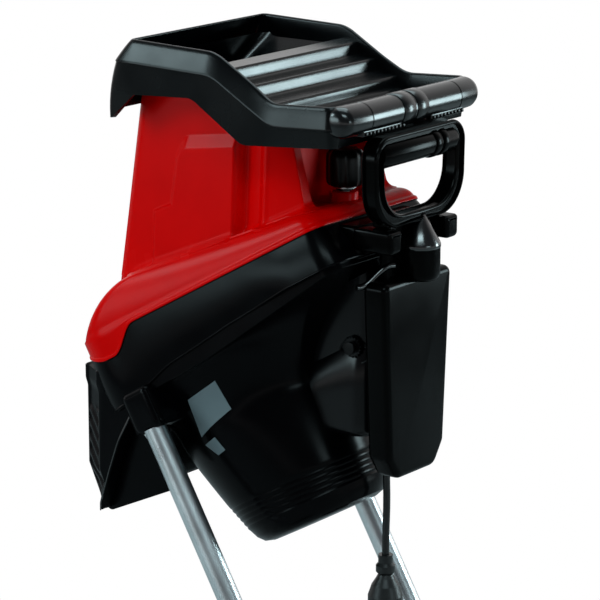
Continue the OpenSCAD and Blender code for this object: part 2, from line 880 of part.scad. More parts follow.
module hopper() {
    w = hopper_wall;
    top = rim_z - deck_drop;
    color(black) {
        pair() side_prism(hopper_hw - w, hopper_hw, [[skirt_front, rim_z - 84],
            [skirt_mid, tower_top], [-150, rim_z - 17], [rim_front, rim_z], [rim_back, rim_z - 3],
            [ramp_foot, platform_z - 3], [hopper_rear, platform_z + 2],
            [hopper_rear, platform_z - 41], [8, platform_z - 50], [-58, rim_z - 54],
            [-150, rim_z - 58], [skirt_front + 8, rim_z - 84]]);
        side_prism(-hopper_hw + w, hopper_hw - w, [[skirt_front, rim_z - 84],
            [skirt_mid, tower_top], [-150, rim_z - 17], [rim_front, rim_z],
            [rim_front + w, rim_z - 3], [-150 + w, rim_z - 19], [skirt_mid + w, tower_top],
            [skirt_front + w, rim_z - 84]]);
        difference() {
            hopper_funnel(0);
            hopper_funnel(w);
        }
        difference() {
            union() {
                for (i = [0 : steps - 1])
                    side_prism(-hopper_hw + w, hopper_hw - w, [
                        [rim_back + i * step_y - 2, top - i * step_z],
                        [rim_back + i * step_y + 9, top - i * step_z - 2],
                        [rim_back + (i + 1) * step_y, top - (i + 1) * step_z],
                        [rim_back + (i + 1) * step_y - 2, top - (i + 1) * step_z - w],
                        [rim_back + i * step_y + 6, top - i * step_z - 2 - w],
                        [rim_back + i * step_y - 2, top - i * step_z - w]]);
                side_prism(-hopper_hw + w, hopper_hw - w, [
                    [ramp_foot - 3, top - steps * step_z], [hopper_rear, top - steps * step_z + 4],
                    [hopper_rear, top - steps * step_z + 4 - w],
                    [ramp_foot - 3, top - steps * step_z - w]]);
                side_prism(-hopper_hw + w, hopper_hw - w, [[rim_back, rim_z - 4],
                    [rim_back + 5, rim_z - 4], [rim_back + 5, top - w], [rim_back - 2, top - w]]);
                side_prism(-hopper_hw + w, hopper_hw - w, [[hopper_rear - w, platform_z - 41],
                    [hopper_rear, platform_z - 41], [hopper_rear, platform_z - 15],
                    [hopper_rear - w, platform_z - 15]]);
            }
            hopper_funnel(w);
        }
        hopper_screw_lugs();
    }
}

// four screws hold the funnel on the tower, two behind it and one on each side
side_screw_y = duct_rear - 12;
side_screw_drop = 6;
w_lug = 4;

module hopper_screw_places() {
    pair() {
        translate([50, duct_rear + w_lug, tower_top - 12]) rotate([90, 0, 0]) children();
        translate([tower_top_hw + w_lug + 1, side_screw_y, tower_top - side_screw_drop])
            rotate([0, -90, 0]) children();
    }
}

module hopper_screw_lugs() {
    difference() {
        pair() {
            translate([40, duct_rear, tower_top - 24]) cube([20, w_lug, 30]);
            difference() {
                translate([tower_top_hw, side_screw_y - 8, tower_top - 2 * side_screw_drop])
                    cube([w_lug + 1, 16, 3 * side_screw_drop]);
                tower(wing_rear, wing_r, 0, 0);
            }
        }
        tower(duct_rear, tower_r, 0, 0);
        hopper_screw_places() cylinder(r = screw_r, h = 40, center = true);
    }
}

module hopper_screws() {
    color(steel) hopper_screw_places() screw();
}

// screw with its head under the origin and its shank along +Z
module screw() {
    translate([0, 0, -2.5]) cylinder(r = screw_r + 2, h = 2.5);
    translate([0, 0, -0.5]) cylinder(r = screw_r, h = 9);
}

module carry_handle() {
    color(black) translate([0, bar_y, bar_z]) difference() {
        x_rod(bar_r, -hopper_hw, hopper_hw);
        translate([-big, -bar_y + hopper_rear - big, -big]) cube([2 * big, big, 2 * big]);
    }
}

module handle_rings() {
    color(black) pair() translate([ring_span / 2, bar_y, bar_z]) difference() {
        x_rod(ring_r, -ring_w / 2, ring_w / 2);
        x_rod(bar_r, -big, big);
        translate([-big, -big - 13, -big]) cube([2 * big, big, 2 * big]);
        translate([-big, -big, -big - bar_r - 0.5]) cube([2 * big, 2 * big, big]);
    }
}

module handle_clip() {
    color(black) difference() {
        translate([-12, hopper_rear, loop_top - 12])
            cube([24, loop_rear - loop_depth - pass_gap - hopper_rear, 26]);
        translate([0, bar_y, bar_z]) x_rod(bar_r, -big, big);
        translate([0, bar_y, bar_z]) pair() translate([ring_span / 2, 0, 0])
            x_rod(ring_r + pass_gap, -ring_w / 2 - pass_gap, ring_w / 2 + pass_gap);
    }
}

module knob() {
    color(black) translate([0, knob_y, knob_z]) difference() {
        cylinder(r = knob_r, h = knob_h);
        for (a = [0 : 60 : 300]) rotate([0, 0, a]) translate([knob_r + 1, 0, -1])
            cylinder(r = knob_cut_r, h = knob_h + 2);
        translate([0, 0, -1]) cylinder(r = spindle_r, h = knob_h - 9);
    }
}

module spindle() {
    color(steel) translate([0, knob_y, spindle_tip])
        cylinder(r = spindle_r, h = knob_z + knob_h - 10 - spindle_tip);
}

module spindle_washer() {
    color(steel) translate([0, knob_y, knob_z - washer_t - pass_gap])
        ring(boss_r - 2, spindle_r + run_fit, washer_t);
}

module safety_pin() {
    color(steel) translate([0, knob_y, pin_top - pin_len]) cylinder(r = pin_r, h = pin_len);
}

module safety_switch() {
    color(iron) difference() {
        translate([-10, knob_y - 14, switch_top - 20]) cube([20, 28, 20]);
        at_disc() above(-floor_depth - floor_t);
    }
}

module rotor_shaft() {
    color(steel) at_disc() translate([0, 0, shaft_foot])
        cylinder(r = shaft_r, h = -shaft_foot - 4);
}

module armature() {
    color(iron) at_disc() translate([0, 0, core_z]) ring(armature_r, shaft_r, core_len);
}

module commutator() {
    color(copper) at_disc() translate([0, 0, core_z - 28]) ring(16, shaft_r, 14);
}

module cooling_fan() {
    color(black) at_disc() translate([0, 0, core_z + core_len + 26]) difference() {
        union() {
            cylinder(r = fan_r, h = 3);
            cylinder(r = 14, h = 18);
            for (a = [0 : 45 : 315]) rotate([0, 0, a]) translate([12, -1.5, 0])
                cube([fan_r - 14, 3, 18]);
        }
        translate([0, 0, -1]) cylinder(r = shaft_r, h = 30);
    }
}

knife_in = 30;

module knife_holes() {
    for (a = [0, 180])
        for (r = [knife_in + 14, knife_in + knife_len - 14])
            rotate([0, 0, a]) translate([r, 0, 0]) children();
}

module knife_disc() {
    color(steel) at_disc() difference() {
        union() {
            translate([0, 0, -disc_depth - disc_t]) cylinder(r = disc_r, h = disc_t);
            translate([0, 0, -floor_depth + 2]) cylinder(r = 20, h = floor_depth - disc_depth - 3);
            for (a = [45 : 90 : 315]) rotate([0, 0, a])
                translate([18, -2, -floor_depth + 4])
                cube([disc_r - 22, 4, floor_depth - disc_depth - disc_t - 3]);
        }
        translate([0, 0, -floor_depth]) cylinder(r = shaft_r, h = floor_depth);
        knife_holes() translate([0, 0, -floor_depth]) cylinder(r = knife_screw_r, h = floor_depth);
    }
}

module knives() {
    color(steel) at_disc() difference() {
        for (a = [0, 180]) rotate([0, 0, a])
            translate([knife_in, -knife_w / 2, -disc_depth]) cube([knife_len, knife_w, knife_t]);
        knife_holes() translate([0, 0, -floor_depth]) cylinder(r = knife_screw_r, h = floor_depth);
    }
}

module knife_screws() {
    color(iron) at_disc() knife_holes() translate([0, 0, -disc_depth + knife_t]) {
        cylinder(r = knife_screw_r + 2, h = 2.5);
        translate([0, 0, -knife_t - disc_t]) cylinder(r = knife_screw_r, h = knife_t + disc_t + 1);
    }
}

module disc_nut() {
    color(steel) at_disc() translate([0, 0, -disc_depth]) difference() {
        cylinder(r = shaft_r + 5, h = 8, $fn = 6);
        translate([0, 0, -1]) cylinder(r = shaft_r, h = 12);
    }
}

button_y = box_rear - 12;
on_z = 634;
off_z = 596;
reset_z = 610;
reset_y = 90;

module switch_box() {
    color(black) difference() {
        translate([-box_hw, 20, box_foot]) cube([2 * box_hw, box_rear - 20, box_top - box_foot]);
        at_disc() {
            bowl(0);
            bucket(0);
            above(-62);
        }
        for (z = [on_z, off_z]) translate([0, box_rear, z]) rotate([90, 0, 0])
            cylinder(r = button_r + pass_gap, h = 16);
        translate([0, reset_y, reset_z]) x_rod(7 + pass_gap, box_hw - 12, box_hw + 1);
        translate([cord_x, cord_y, box_foot - 1]) cylinder(r = 5, h = 12);
    }
}

module button(z) {
    translate([0, box_rear + 4, z]) rotate([90, 0, 0]) cylinder(r = button_r, h = 14);
}

module on_button() {
    color([0.1, 0.45, 0.15]) button(on_z);
}

module off_button() {
    color([0.7, 0.08, 0.06]) button(off_z);
}

module reset_button() {
    color(black) translate([0, reset_y, reset_z]) x_rod(7, box_hw - 7, box_hw + 5);
}

// fork on the rear wall of the casing that the push stick hangs in
module plunger_fork() {
    x0 = neck_hw + fork_gap;
    color(black) {
        side_prism(-58, 58, [[fork_back_y + 4 * st, fork_back_z - 4 * ct],
            [fork_back_y + 38 * st, fork_back_z - 38 * ct], [paddle_y - 8, fork_back_z - 38 * ct],
            [paddle_y - 8, fork_top], [fork_back_y + 10, fork_top]]);
        pair() difference() {
            translate([x0, paddle_y - 8, fork_top - fork_h])
                cube([fork_w, loop_rear - paddle_y + 6, fork_h]);
            translate([x0 + 3, paddle_y - 4, fork_top - fork_h + 3])
                cube([fork_w - 6, loop_depth + 60, fork_h - 6]);
        }
    }
}

module loop_plan() {
    difference() {
        hull() for (s = [-1, 1]) {
            translate([s * (loop_hw - 22), loop_top - 22]) circle(22, $fn = 32);
            translate([s * (loop_hw - loop_low_r - 3), loop_top - loop_h + loop_low_r])
                circle(loop_low_r, $fn = 32);
        }
        hull() for (s = [-1, 1]) {
            translate([s * (loop_hw - loop_limb - 8), loop_top - 31]) circle(8, $fn = 32);
            translate([s * (loop_hw - loop_limb - hole_low_r), loop_top - loop_h + hole_low_r + 12])
                circle(hole_low_r, $fn = 32);
        }
    }
}

module plunger_handle() {
    color(black) {
        translate([0, loop_rear, 0]) rotate([90, 0, 0]) linear_extrude(loop_depth) loop_plan();
        translate([-neck_hw - 23, neck_front, fork_top + pass_gap])
            cube([2 * neck_hw + 46, loop_rear - 5 - neck_front, 9]);
        translate([-neck_hw, neck_front, paddle_top])
            cube([2 * neck_hw, neck_t, fork_top + 3 - paddle_top]);
    }
}

module paddle_plan(inset) {
    polygon([[-paddle_hw + inset, paddle_top - inset], [paddle_hw - inset, paddle_top - inset],
        [paddle_foot_hw - inset, paddle_foot + 26], [paddle_foot_hw - 18 - inset / 2,
        paddle_foot + inset], [-paddle_foot_hw + 18 + inset / 2, paddle_foot + inset],
        [-paddle_foot_hw + inset, paddle_foot + 26]]);
}

module plunger_paddle() {
    w = paddle_wall;
    color(black) difference() {
        translate([0, paddle_y + paddle_t, 0]) rotate([90, 0, 0]) linear_extrude(paddle_t)
            paddle_plan(0);
        translate([0, paddle_y + paddle_t - w, 0]) rotate([90, 0, 0])
            linear_extrude(paddle_t - 2 * w) paddle_plan(w);
    }
}

module cable_bushing() {
    color(black) translate([cord_x, cord_y, box_foot - bushing_len]) difference() {
        union() {
            cylinder(r1 = cord_r + 1.6, r2 = cord_r + 3, h = bushing_len - 4);
            translate([0, 0, bushing_len - 4]) cylinder(r = 8, h = 4);
        }
        translate([0, 0, -1]) cylinder(r = cord_r + 0.2, h = bushing_len + 2);
    }
}

// one unbroken tube along the route
module cord() {
    n = len(cord_path);
    pts = [for (p = cord_path) for (k = [0 : cord_sides - 1])
        [p[0] + cord_r * cos(360 * k / cord_sides), p[1] + cord_r * sin(360 * k / cord_sides),
            p[2]]];
    sides = [for (i = [0 : n - 2]) for (k = [0 : cord_sides - 1])
        [i * cord_sides + k, i * cord_sides + (k + 1) % cord_sides,
            (i + 1) * cord_sides + (k + 1) % cord_sides, (i + 1) * cord_sides + k]];
    top = [[for (k = [0 : cord_sides - 1]) cord_sides - 1 - k]];
    foot = [[for (k = [0 : cord_sides - 1]) (n - 1) * cord_sides + k]];
    color(black) polyhedron(points = pts, faces = concat(sides, top, foot));
}

module plug() {
    color(black) translate([cord_x, cord_y, 0]) difference() {
        rotate_extrude() polygon([[0, 290], [plug_r, 290], [plug_r, 326], [plug_r - 4, 338],
            [10, 346], [8, 350], [10.5, 353], [10.5, 360], [8, 363], [8, plug_top], [0, plug_top]]);
        translate([0, 0, plug_top - 15]) cylinder(r = cord_r + 0.2, h = 20);
        for (s = [-1, 1]) translate([s * 9.5, 0, 280]) cylinder(r = 2.4, h = 22);
    }
}

module plug_pins() {
    color(steel) translate([cord_x, cord_y, 0]) for (s = [-1, 1])
        translate([s * 9.5, 0, 271]) cylinder(r = 2.4, h = 31);
}

lower_casing();
discharge_hood();
hood_screws();
motor_housing();
stator();
field_coils();
brushes();
bearing_upper();
bearing_lower();
leg_left();
leg_right();
leg_plugs();
leg_bolts();
cross_tube();
foot_caps();
axle();
axle_spacers();
axle_caps();
hub_left();
tyre_left();
hub_right();
tyre_right();
hinge_pins();
upper_casing();
feed_tower();
hopper();
hopper_screws();
carry_handle();
handle_rings();
handle_clip();
knob();
spindle();
spindle_washer();
safety_pin();
safety_switch();
rotor_shaft();
armature();
commutator();
cooling_fan();
knife_disc();
knives();
knife_screws();
disc_nut();
switch_box();
on_button();
off_button();
reset_button();
plunger_fork();
plunger_handle();
plunger_paddle();
cable_bushing();
cord();
plug();
plug_pins();
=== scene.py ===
# %% [markdown]
# # Electric garden shredder
# The machine stands on a bent tube frame with two wheels. A red cover with a feed tower closes the
# tilted knife chamber, a black hopper sits on the tower, and a push stick hangs at the rear.
# OpenSCAD made every working piece to size. This lesson gives the moulded pieces the soft edges,
# beads and swellings of real mouldings, because light on plastic lives in those small radii.

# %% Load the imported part
import math

import bpy
import numpy as np
from mathutils import Matrix


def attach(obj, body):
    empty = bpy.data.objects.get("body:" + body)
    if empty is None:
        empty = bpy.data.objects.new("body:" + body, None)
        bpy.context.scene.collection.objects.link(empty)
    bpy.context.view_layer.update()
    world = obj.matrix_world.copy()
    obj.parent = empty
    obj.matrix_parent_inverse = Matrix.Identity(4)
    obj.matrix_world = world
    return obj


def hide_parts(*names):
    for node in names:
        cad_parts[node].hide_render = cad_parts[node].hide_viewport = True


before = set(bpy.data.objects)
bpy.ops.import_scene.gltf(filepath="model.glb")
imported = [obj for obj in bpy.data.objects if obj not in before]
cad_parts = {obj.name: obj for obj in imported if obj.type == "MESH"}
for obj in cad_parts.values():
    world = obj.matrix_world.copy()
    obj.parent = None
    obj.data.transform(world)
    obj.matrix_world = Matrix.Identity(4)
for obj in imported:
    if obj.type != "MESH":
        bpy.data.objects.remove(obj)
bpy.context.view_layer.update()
MM = 0.001
print("nodes", len(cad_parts))

# %% [markdown]
# ## Camera
# The photograph was taken from the left rear with a long lens. Straight edges of the machine gave
# the view angle, and the middle of the carry handle pins the picture to the frame. The camera could
# track an empty; a matrix built from its three axes needs no constraint and can be read.

# %% Camera at the photograph's angle
AZIMUTH = math.radians(126.7)
PITCH = math.radians(13.9)
DISTANCE = 3.09
FOCAL_PX = 3000.0
PICTURE_PX = 600
SENSOR_MM = 36
HANDLE = np.array([0.0, 0.140, 0.865])
HANDLE_PX = np.array([413.0, 108.0])


def placed(x, y, z, place):
    """Matrix whose columns are three unit axes and a place."""
    return Matrix([(x[k], y[k], z[k], place[k]) for k in range(3)] + [(0, 0, 0, 1)])


def shown(obj):
    """The object itself, linked into the scene."""
    bpy.context.scene.collection.objects.link(obj)
    return obj


back = np.array([
    math.sin(AZIMUTH) * math.cos(PITCH),
    -math.cos(AZIMUTH) * math.cos(PITCH),
    math.sin(PITCH),
])
right = np.cross(-back, [0.0, 0.0, 1.0])
right = right / np.linalg.norm(right)
up = np.cross(right, -back)
across, down = (HANDLE_PX - PICTURE_PX / 2) / FOCAL_PX * DISTANCE
eye = HANDLE - right * across + up * down + back * DISTANCE

camera_data = bpy.data.cameras.new("camera")
camera_data.sensor_width = SENSOR_MM
camera_data.lens = SENSOR_MM * FOCAL_PX / PICTURE_PX
camera_data.clip_end = 60
camera = shown(bpy.data.objects.new("camera", camera_data))
camera.matrix_world = placed(right, up, back, eye)
bpy.context.scene.camera = camera
print("camera at", np.round(eye, 3))

# %% [markdown]
# ## Mains cord
# The short lead hangs straight down from the switch box into its plug. A mesh tube would look the
# same, but a curve with a round section keeps the line itself, so its length can be measured.

# %% Cord curve
CORD_R = 4.0
CORD_LINE = np.array([
    (-8, 104, 516), (-8, 104, 496), (-8, 104, 476), (-8, 104.5, 456), (-8, 105, 440),
    (-8, 105, 424), (-8, 104.5, 408), (-8, 104, 392), (-8, 104, 358),
], float)

cord_data = bpy.data.curves.new("mains_lead", "CURVE")
cord_data.dimensions = "3D"
cord_data.bevel_depth = CORD_R * MM
cord_data.bevel_resolution = 6
cord_data.use_fill_caps = True
line = cord_data.splines.new("POLY")
line.points.add(len(CORD_LINE) - 1)
for point, place in zip(line.points, CORD_LINE):
    point.co = (*(place * MM), 1.0)
cord = shown(bpy.data.objects.new("mains_lead", cord_data))

# %% [markdown]
# ## Tools for surfaces
# Extrude and bevel by hand would shape these pieces too, but a formula can be read and run again.
# Every new piece is a grid of points, a function of two parameters: where along an outline, and how
# far up a profile. Sizes are millimetres in the machine frame until the mesh is made.


# %% Outline tools
def ease(a, b, x):
    """0 up to a, 1 from b on, and an S-curve in between."""
    t = np.clip((np.asarray(x, float) - a) / (b - a), 0, 1)
    return t * t * (3 - 2 * t)


def soft_line(x, xs, ys, soft):
    """Straight runs through the points (xs, ys), averaged over soft either way to round corners."""
    shifts = np.linspace(-soft, soft, 9)
    return np.mean([np.interp(np.asarray(x, float) + s, xs, ys) for s in shifts], axis=0)


def rounded(corners, radii, arc=8, side=6):
    """Closed outline: an arc tangent to both sides at each corner, and even steps between arcs."""
    p = np.array(corners, float)
    r = np.broadcast_to(np.asarray(radii, float), len(p))
    steps = np.broadcast_to(side, len(p))
    arcs = []
    for k in range(len(p)):
        a = p[k - 1] - p[k]
        b = p[(k + 1) % len(p)] - p[k]
        a = a / np.linalg.norm(a)
        b = b / np.linalg.norm(b)
        half = 0.5 * math.acos(np.clip(a @ b, -1, 1))
        centre = p[k] + (a + b) / np.linalg.norm(a + b) * r[k] / math.sin(half)
        start = p[k] + a * r[k] / math.tan(half) - centre
        end = p[k] + b * r[k] / math.tan(half) - centre
        swing = math.pi - 2 * half
        t = np.linspace(0, 1, arc + 1)[:, None]
        arcs.append(centre + (np.sin((1 - t) * swing) * start + np.sin(t * swing) * end)
                    / math.sin(swing))
    out = []
    for k in range(len(p)):
        gap = arcs[(k + 1) % len(p)][0] - arcs[k][-1]
        t = np.linspace(0, 1, steps[k] + 1)[1:-1, None]
        out += [arcs[k], arcs[k][-1] + gap * t]
    return np.concatenate(out)


def outward(loop):
    """Unit normals of a counter-clockwise outline: its tangent turned a quarter to the right."""
    t = np.roll(loop, -1, 0) - np.roll(loop, 1, 0)
    n = np.stack([t[:, 1], -t[:, 0]], 1)
    return n / np.linalg.norm(n, axis=1)[:, None]


def level(plan, z):
    """Points of a plan, all at one height."""
    return np.column_stack([plan, np.full(len(plan), float(z))])


def full_turn(steps):
    """Even angles once round, without the last one that would repeat the first."""
    return np.linspace(0, 2 * math.pi, steps, endpoint=False)


def bezier(t):
    """Weights of the four points of a cubic Bezier curve, from the first at t = 0 to the last at 1."""
    return (1 - t) ** 3, 3 * t * (1 - t) ** 2, 3 * t * t * (1 - t), t ** 3


DISC_TILT = math.radians(30)
DISC_Y = -116
DISC_Z = 631


def from_disc(points):
    """Points of the knife disc's frame, turned by its tilt about X and carried to the disc axis."""
    p = np.asarray(points, float)
    c = math.cos(DISC_TILT)
    s = math.sin(DISC_TILT)
    y = DISC_Y + p[..., 1] * c - p[..., 2] * s
    z = DISC_Z + p[..., 1] * s + p[..., 2] * c
    return np.stack([p[..., 0], y, z], -1)


print("outline tools ready")


# %% Grid tools
def grid(rows, loop=True, ring=False, caps=(False, False)):
    """Quads between neighbouring points of a grid, closed along a row (loop) or across rows (ring)."""
    r, c = rows.shape[:2]
    i = np.arange(r if ring else r - 1)[:, None]
    j = np.arange(c if loop else c - 1)[None, :]
    i2 = (i + 1) % r
    j2 = (j + 1) % c
    quads = np.stack([i * c + j, i * c + j2, i2 * c + j2, i2 * c + j], -1).reshape(-1, 4)
    polygons = []
    if caps[0]:
        polygons.append(np.arange(c)[::-1])
    if caps[1]:
        polygons.append(np.arange((r - 1) * c, r * c))
    return rows.reshape(-1, 3), quads, polygons


def enclosed(sheet):
    """Six times the volume that a sheet encloses, seen from its middle: positive if it faces out."""
    points, quads, polygons = sheet
    p = points - (points.min(0) + points.max(0)) / 2
    a, b, c, d = (p[quads[:, k]] for k in range(4))
    total = np.sum(a * np.cross(b, c)) + np.sum(a * np.cross(c, d))
    for poly in polygons:
        q = p[poly]
        total += np.sum(q[0] * np.cross(q[1:-1], q[2:]))
    return total


def piece(name, sheets, body, finish, stands_for=(), sharp=40, wall=0.0):
    """One mesh object from closed sheets, or from an open one that a wall thickness closes."""
    points, faces, first = [], [], 0
    for sheet in sheets:
        flip = -1 if enclosed(sheet) < 0 else 1
        points.append(sheet[0])
        faces += (sheet[1][:, ::flip] + first).tolist()
        faces += [(poly[::flip] + first).tolist() for poly in sheet[2]]
        first += len(sheet[0])
    mesh = bpy.data.meshes.new(name)
    mesh.from_pydata((np.concatenate(points) * MM).tolist(), [], faces)
    mesh.shade_smooth()
    mesh.set_sharp_from_angle(angle=math.radians(sharp))
    mesh.materials.append(finish)
    obj = shown(bpy.data.objects.new(name, mesh))
    if wall:
        shell = obj.modifiers.new("wall", "SOLIDIFY")
        shell.thickness = wall * MM
        shell.offset = -1
    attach(obj, body)
    if stands_for:
        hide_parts(*stands_for)
    print(name, len(mesh.polygons), "faces")


def slab(outline, low, high, edge, axis, steps=5):
    """Plate of an outline between two heights, its edges rounded off to a quarter circle."""
    normal = outward(outline)
    rows = []
    for a in np.linspace(0, math.pi / 2, steps):
        rows.append((low + edge * (1 - math.sin(a)), edge * (1 - math.cos(a))))
    rows = rows[::-1]
    rows += [(low + high - z, inset) for z, inset in rows[::-1]]
    out = []
    for z, inset in rows:
        loop = outline - normal * inset
        flat = np.full(len(loop), z)
        if axis == "Y":
            out.append(np.stack([loop[:, 0], flat, loop[:, 1]], 1))
        elif axis == "X":
            out.append(np.stack([flat, loop[:, 0], loop[:, 1]], 1))
        else:
            out.append(np.stack([loop[:, 0], loop[:, 1], flat], 1))
    return grid(np.array(out), caps=(True, True))


def revolve(profile, centre, axis, steps=64, lobes=None):
    """Profile of (radius, height) pairs carried once round an axis; lobes scale it by angle."""
    profile = np.array(profile, float)
    angle = full_turn(steps)
    scale = np.ones(steps) if lobes is None else lobes(angle)
    a = profile[:, :1] * np.cos(angle) * scale
    b = profile[:, :1] * np.sin(angle) * scale
    h = np.repeat(profile[:, 1:], steps, axis=1)
    order = {"X": (h, a, b), "Y": (b, h, a), "Z": (a, b, h)}[axis]
    return grid(np.stack(order, -1) + np.array(centre, float), caps=(True, True))


print("grid tools ready")

# %% [markdown]
# ## Materials
# The machine is moulded plastic, lacquered tube, rubber and zinc-plated steel. Each recipe names
# its material and how the surface was made. Picture textures could give the small unevenness that
# keeps plastic from looking like flat paint; noise in real millimetres needs no file and no seam.


# %% Node tools
def srgb(code):
    """Linear colour of an sRGB hex code such as D8201C."""
    v = np.array([int(code[k:k + 2], 16) / 255 for k in (0, 2, 4)])
    v = np.where(v <= 0.04045, v / 12.92, ((v + 0.055) / 1.055) ** 2.4)
    return (*v.tolist(), 1.0)


def add(tree, kind, links=(), **settings):
    """One node, its sockets set by name and fed from (socket, other node, output) triples."""
    node = tree.nodes.new(kind)
    for key, value in settings.items():
        if hasattr(node, key):
            setattr(node, key, value)
        else:
            node.inputs[key.replace("_", " ")].default_value = value
    for socket, other, output in links:
        tree.links.new(other.outputs[output], node.inputs[socket])
    return node


def start(name):
    """Empty material with its output, its Principled shader and object coordinates."""
    mat = bpy.data.materials.new(name)
    mat.use_nodes = True
    tree = mat.node_tree
    tree.nodes.clear()
    shader = add(tree, "ShaderNodeBsdfPrincipled")
    add(tree, "ShaderNodeOutputMaterial", [("Surface", shader, "BSDF")])
    return mat, tree, shader, add(tree, "ShaderNodeTexCoord")


print("node tools ready")

# %% Two recipes
NOISE_LOW = 0.3
NOISE_HIGH = 0.7
CLOUD_MM = 60


def drifting(tree, shader, noise, dark, light, rough):
    """Colour and roughness that both drift between two ends where a noise runs from low to high."""
    colour = add(tree, "ShaderNodeValToRGB", [("Fac", noise, 0)])
    for stop, at, code in zip((0, 1), (NOISE_LOW, NOISE_HIGH), (dark, light)):
        colour.color_ramp.elements[stop].position = at
        colour.color_ramp.elements[stop].color = srgb(code)
    spread = add(tree, "ShaderNodeMapRange", [("Value", noise, 0)], From_Min=NOISE_LOW, From_Max=NOISE_HIGH,
                 To_Min=rough[0], To_Max=rough[1])
    tree.links.new(colour.outputs["Color"], shader.inputs["Base Color"])
    tree.links.new(spread.outputs[0], shader.inputs["Roughness"])


def moulded(name, dark, light, rough, grain_mm, depth_mm, specular):
    """Moulded surface: broad clouds in colour and roughness, and a fine mould grain as a bump."""
    mat, tree, shader, place = start(name)
    cloud = add(tree, "ShaderNodeTexNoise", [("Vector", place, "Object")], Scale=1 / (CLOUD_MM * MM),
                Detail=3)
    drifting(tree, shader, cloud, dark, light, rough)
    grain = add(tree, "ShaderNodeTexNoise", [("Vector", place, "Object")], Scale=1 / (grain_mm * MM))
    bump = add(tree, "ShaderNodeBump", [("Height", grain, 0)], Strength=0.5, Distance=depth_mm * MM)
    tree.links.new(bump.outputs["Normal"], shader.inputs["Normal"])
    shader.inputs["Specular IOR Level"].default_value = specular
    return mat


def metal(name, dark, light, rough, streak_mm, stretch):
    """Metal with clouds or streaks: noise on colour and roughness, squeezed along an axis by a mapping."""
    mat, tree, shader, place = start(name)
    turned = add(tree, "ShaderNodeMapping", [("Vector", place, "Object")], Scale=stretch)
    streak = add(tree, "ShaderNodeTexNoise", [("Vector", turned, "Vector")], Scale=1 / (streak_mm * MM),
                 Detail=4)
    drifting(tree, shader, streak, dark, light, rough)
    shader.inputs["Metallic"].default_value = 1.0
    return mat


print("recipes ready: moulded and metal")

# %% [markdown]
# ## Plastics and rubber
# Nearly all that the eye meets is moulded, and its finish is that of the steel mould. One black for
# all of it would be simpler, but the grades differ in how strongly they mirror the lamps, and that
# is what tells hopper, casing and push stick apart.

# %% Plastics and rubber
# glossy ABS from a polished mould: saturated red under a thin, weak reflection
red_abs = moulded("ABS plastic, polished mould", "CC0000", "D60000", (0.24, 0.28), 1.2, 0.004, 0.05)
# black polypropylene from a half-gloss mould: deep black with broad soft highlights
black_pp = moulded("polypropylene, half-gloss mould", "010102", "020203", (0.2, 0.27), 0.9, 0.006, 0.06)
# hopper polypropylene from a spark-eroded mould: a little greyer, its highlights spread wide
hopper_pp = moulded("polypropylene, spark-eroded mould", "020304", "040506", (0.22, 0.29), 0.8, 0.012, 0.17)
# deck and bar of the same plastic from a polished mould part: hard bright reflections at low angles
tread_pp = moulded("polypropylene, polished mould", "020304", "040506", (0.2, 0.26), 0.8, 0.006, 0.42)
# hood beads, cone and ribs of the push stick, polished: a clear mirror image of the lamps
gloss_pp = moulded("polypropylene, black polished mould", "010101", "020202", (0.16, 0.2), 1.0, 0.003, 0.9)
# switch box polypropylene from a smoother mould part: black with one clear soft reflection
box_pp = moulded("polypropylene, smooth mould", "010102", "020203", (0.18, 0.24), 0.9, 0.004, 0.22)
# push stick polypropylene, half gloss: near black with thin bright edges
stick_pp = moulded("polypropylene, black half gloss", "010101", "020202", (0.18, 0.25), 1.0, 0.006, 0.05)
# knob and reset cap of phenolic, moulded matte: black that only shines on its edges
knob_ph = moulded("phenolic, compression moulded", "020202", "030303", (0.26, 0.36), 0.7, 0.01, 0.16)
# foot caps of soft PVC, dip moulded: dull black
cap_pvc = moulded("PVC, dip moulded", "08090A", "101113", (0.5, 0.62), 1.1, 0.02, 0.35)
# wheel hubs of polypropylene, rough mould: dark grey black
wheel_pp = moulded("polypropylene, rough mould", "0A0B0C", "131416", (0.42, 0.55), 1.0, 0.025, 0.4)
# tyre rubber, vulcanised in a mould: dull with a broad sheen
tyre_rubber = moulded("rubber, vulcanised", "0A0A0A", "121212", (0.6, 0.75), 1.5, 0.05, 0.3)
# cord and plug of soft PVC, extruded: satin black
cord_pvc = moulded("PVC, extruded", "050505", "0A0A0B", (0.35, 0.48), 0.8, 0.01, 0.4)
# key caps of ABS from a gloss mould: even colour with a small sharp highlight
green_abs = moulded("ABS plastic, green gloss mould", "0E6B22", "137A2A", (0.25, 0.32), 1.0, 0.005, 0.5)
stop_abs = moulded("ABS plastic, red gloss mould", "A8120F", "B81612", (0.25, 0.32), 1.0, 0.005, 0.5)
button_abs = moulded("ABS plastic, black mould", "050505", "0A0A0A", (0.3, 0.4), 0.8, 0.008, 0.45)
# grey polyester plates, screen coated: flat mid grey with a faint sheen
plate_grey = moulded("polyester film, screen coated", "5A666A", "667276", (0.4, 0.5), 1.2, 0.004, 0.4)
# fan and safety switch of glass-filled nylon: dark grey and dull
fan_pa = moulded("nylon, glass filled", "17181A", "222427", (0.45, 0.55), 0.8, 0.015, 0.4)
# motor brushes of pressed carbon: dull, dark grey
carbon = moulded("carbon, pressed", "161617", "242425", (0.55, 0.7), 0.5, 0.02, 0.3)
print("plastics, rubber and carbon", len(bpy.data.materials))

# %% [markdown]
# ## Metals
# Tubes, screws, knives and the motor's inside are metal. A picture of brushed steel could be mapped
# on; noise that is stretched along an axis follows any shape without a seam.

# %% Metals
# leg tube with silver lacquer: bright, slightly milky streaks along the tube
leg_lacquer = metal("steel tube, silver lacquer", "C6CACC", "E2E6E8", (0.26, 0.36), 14.0, (1, 0.2, 0.2))
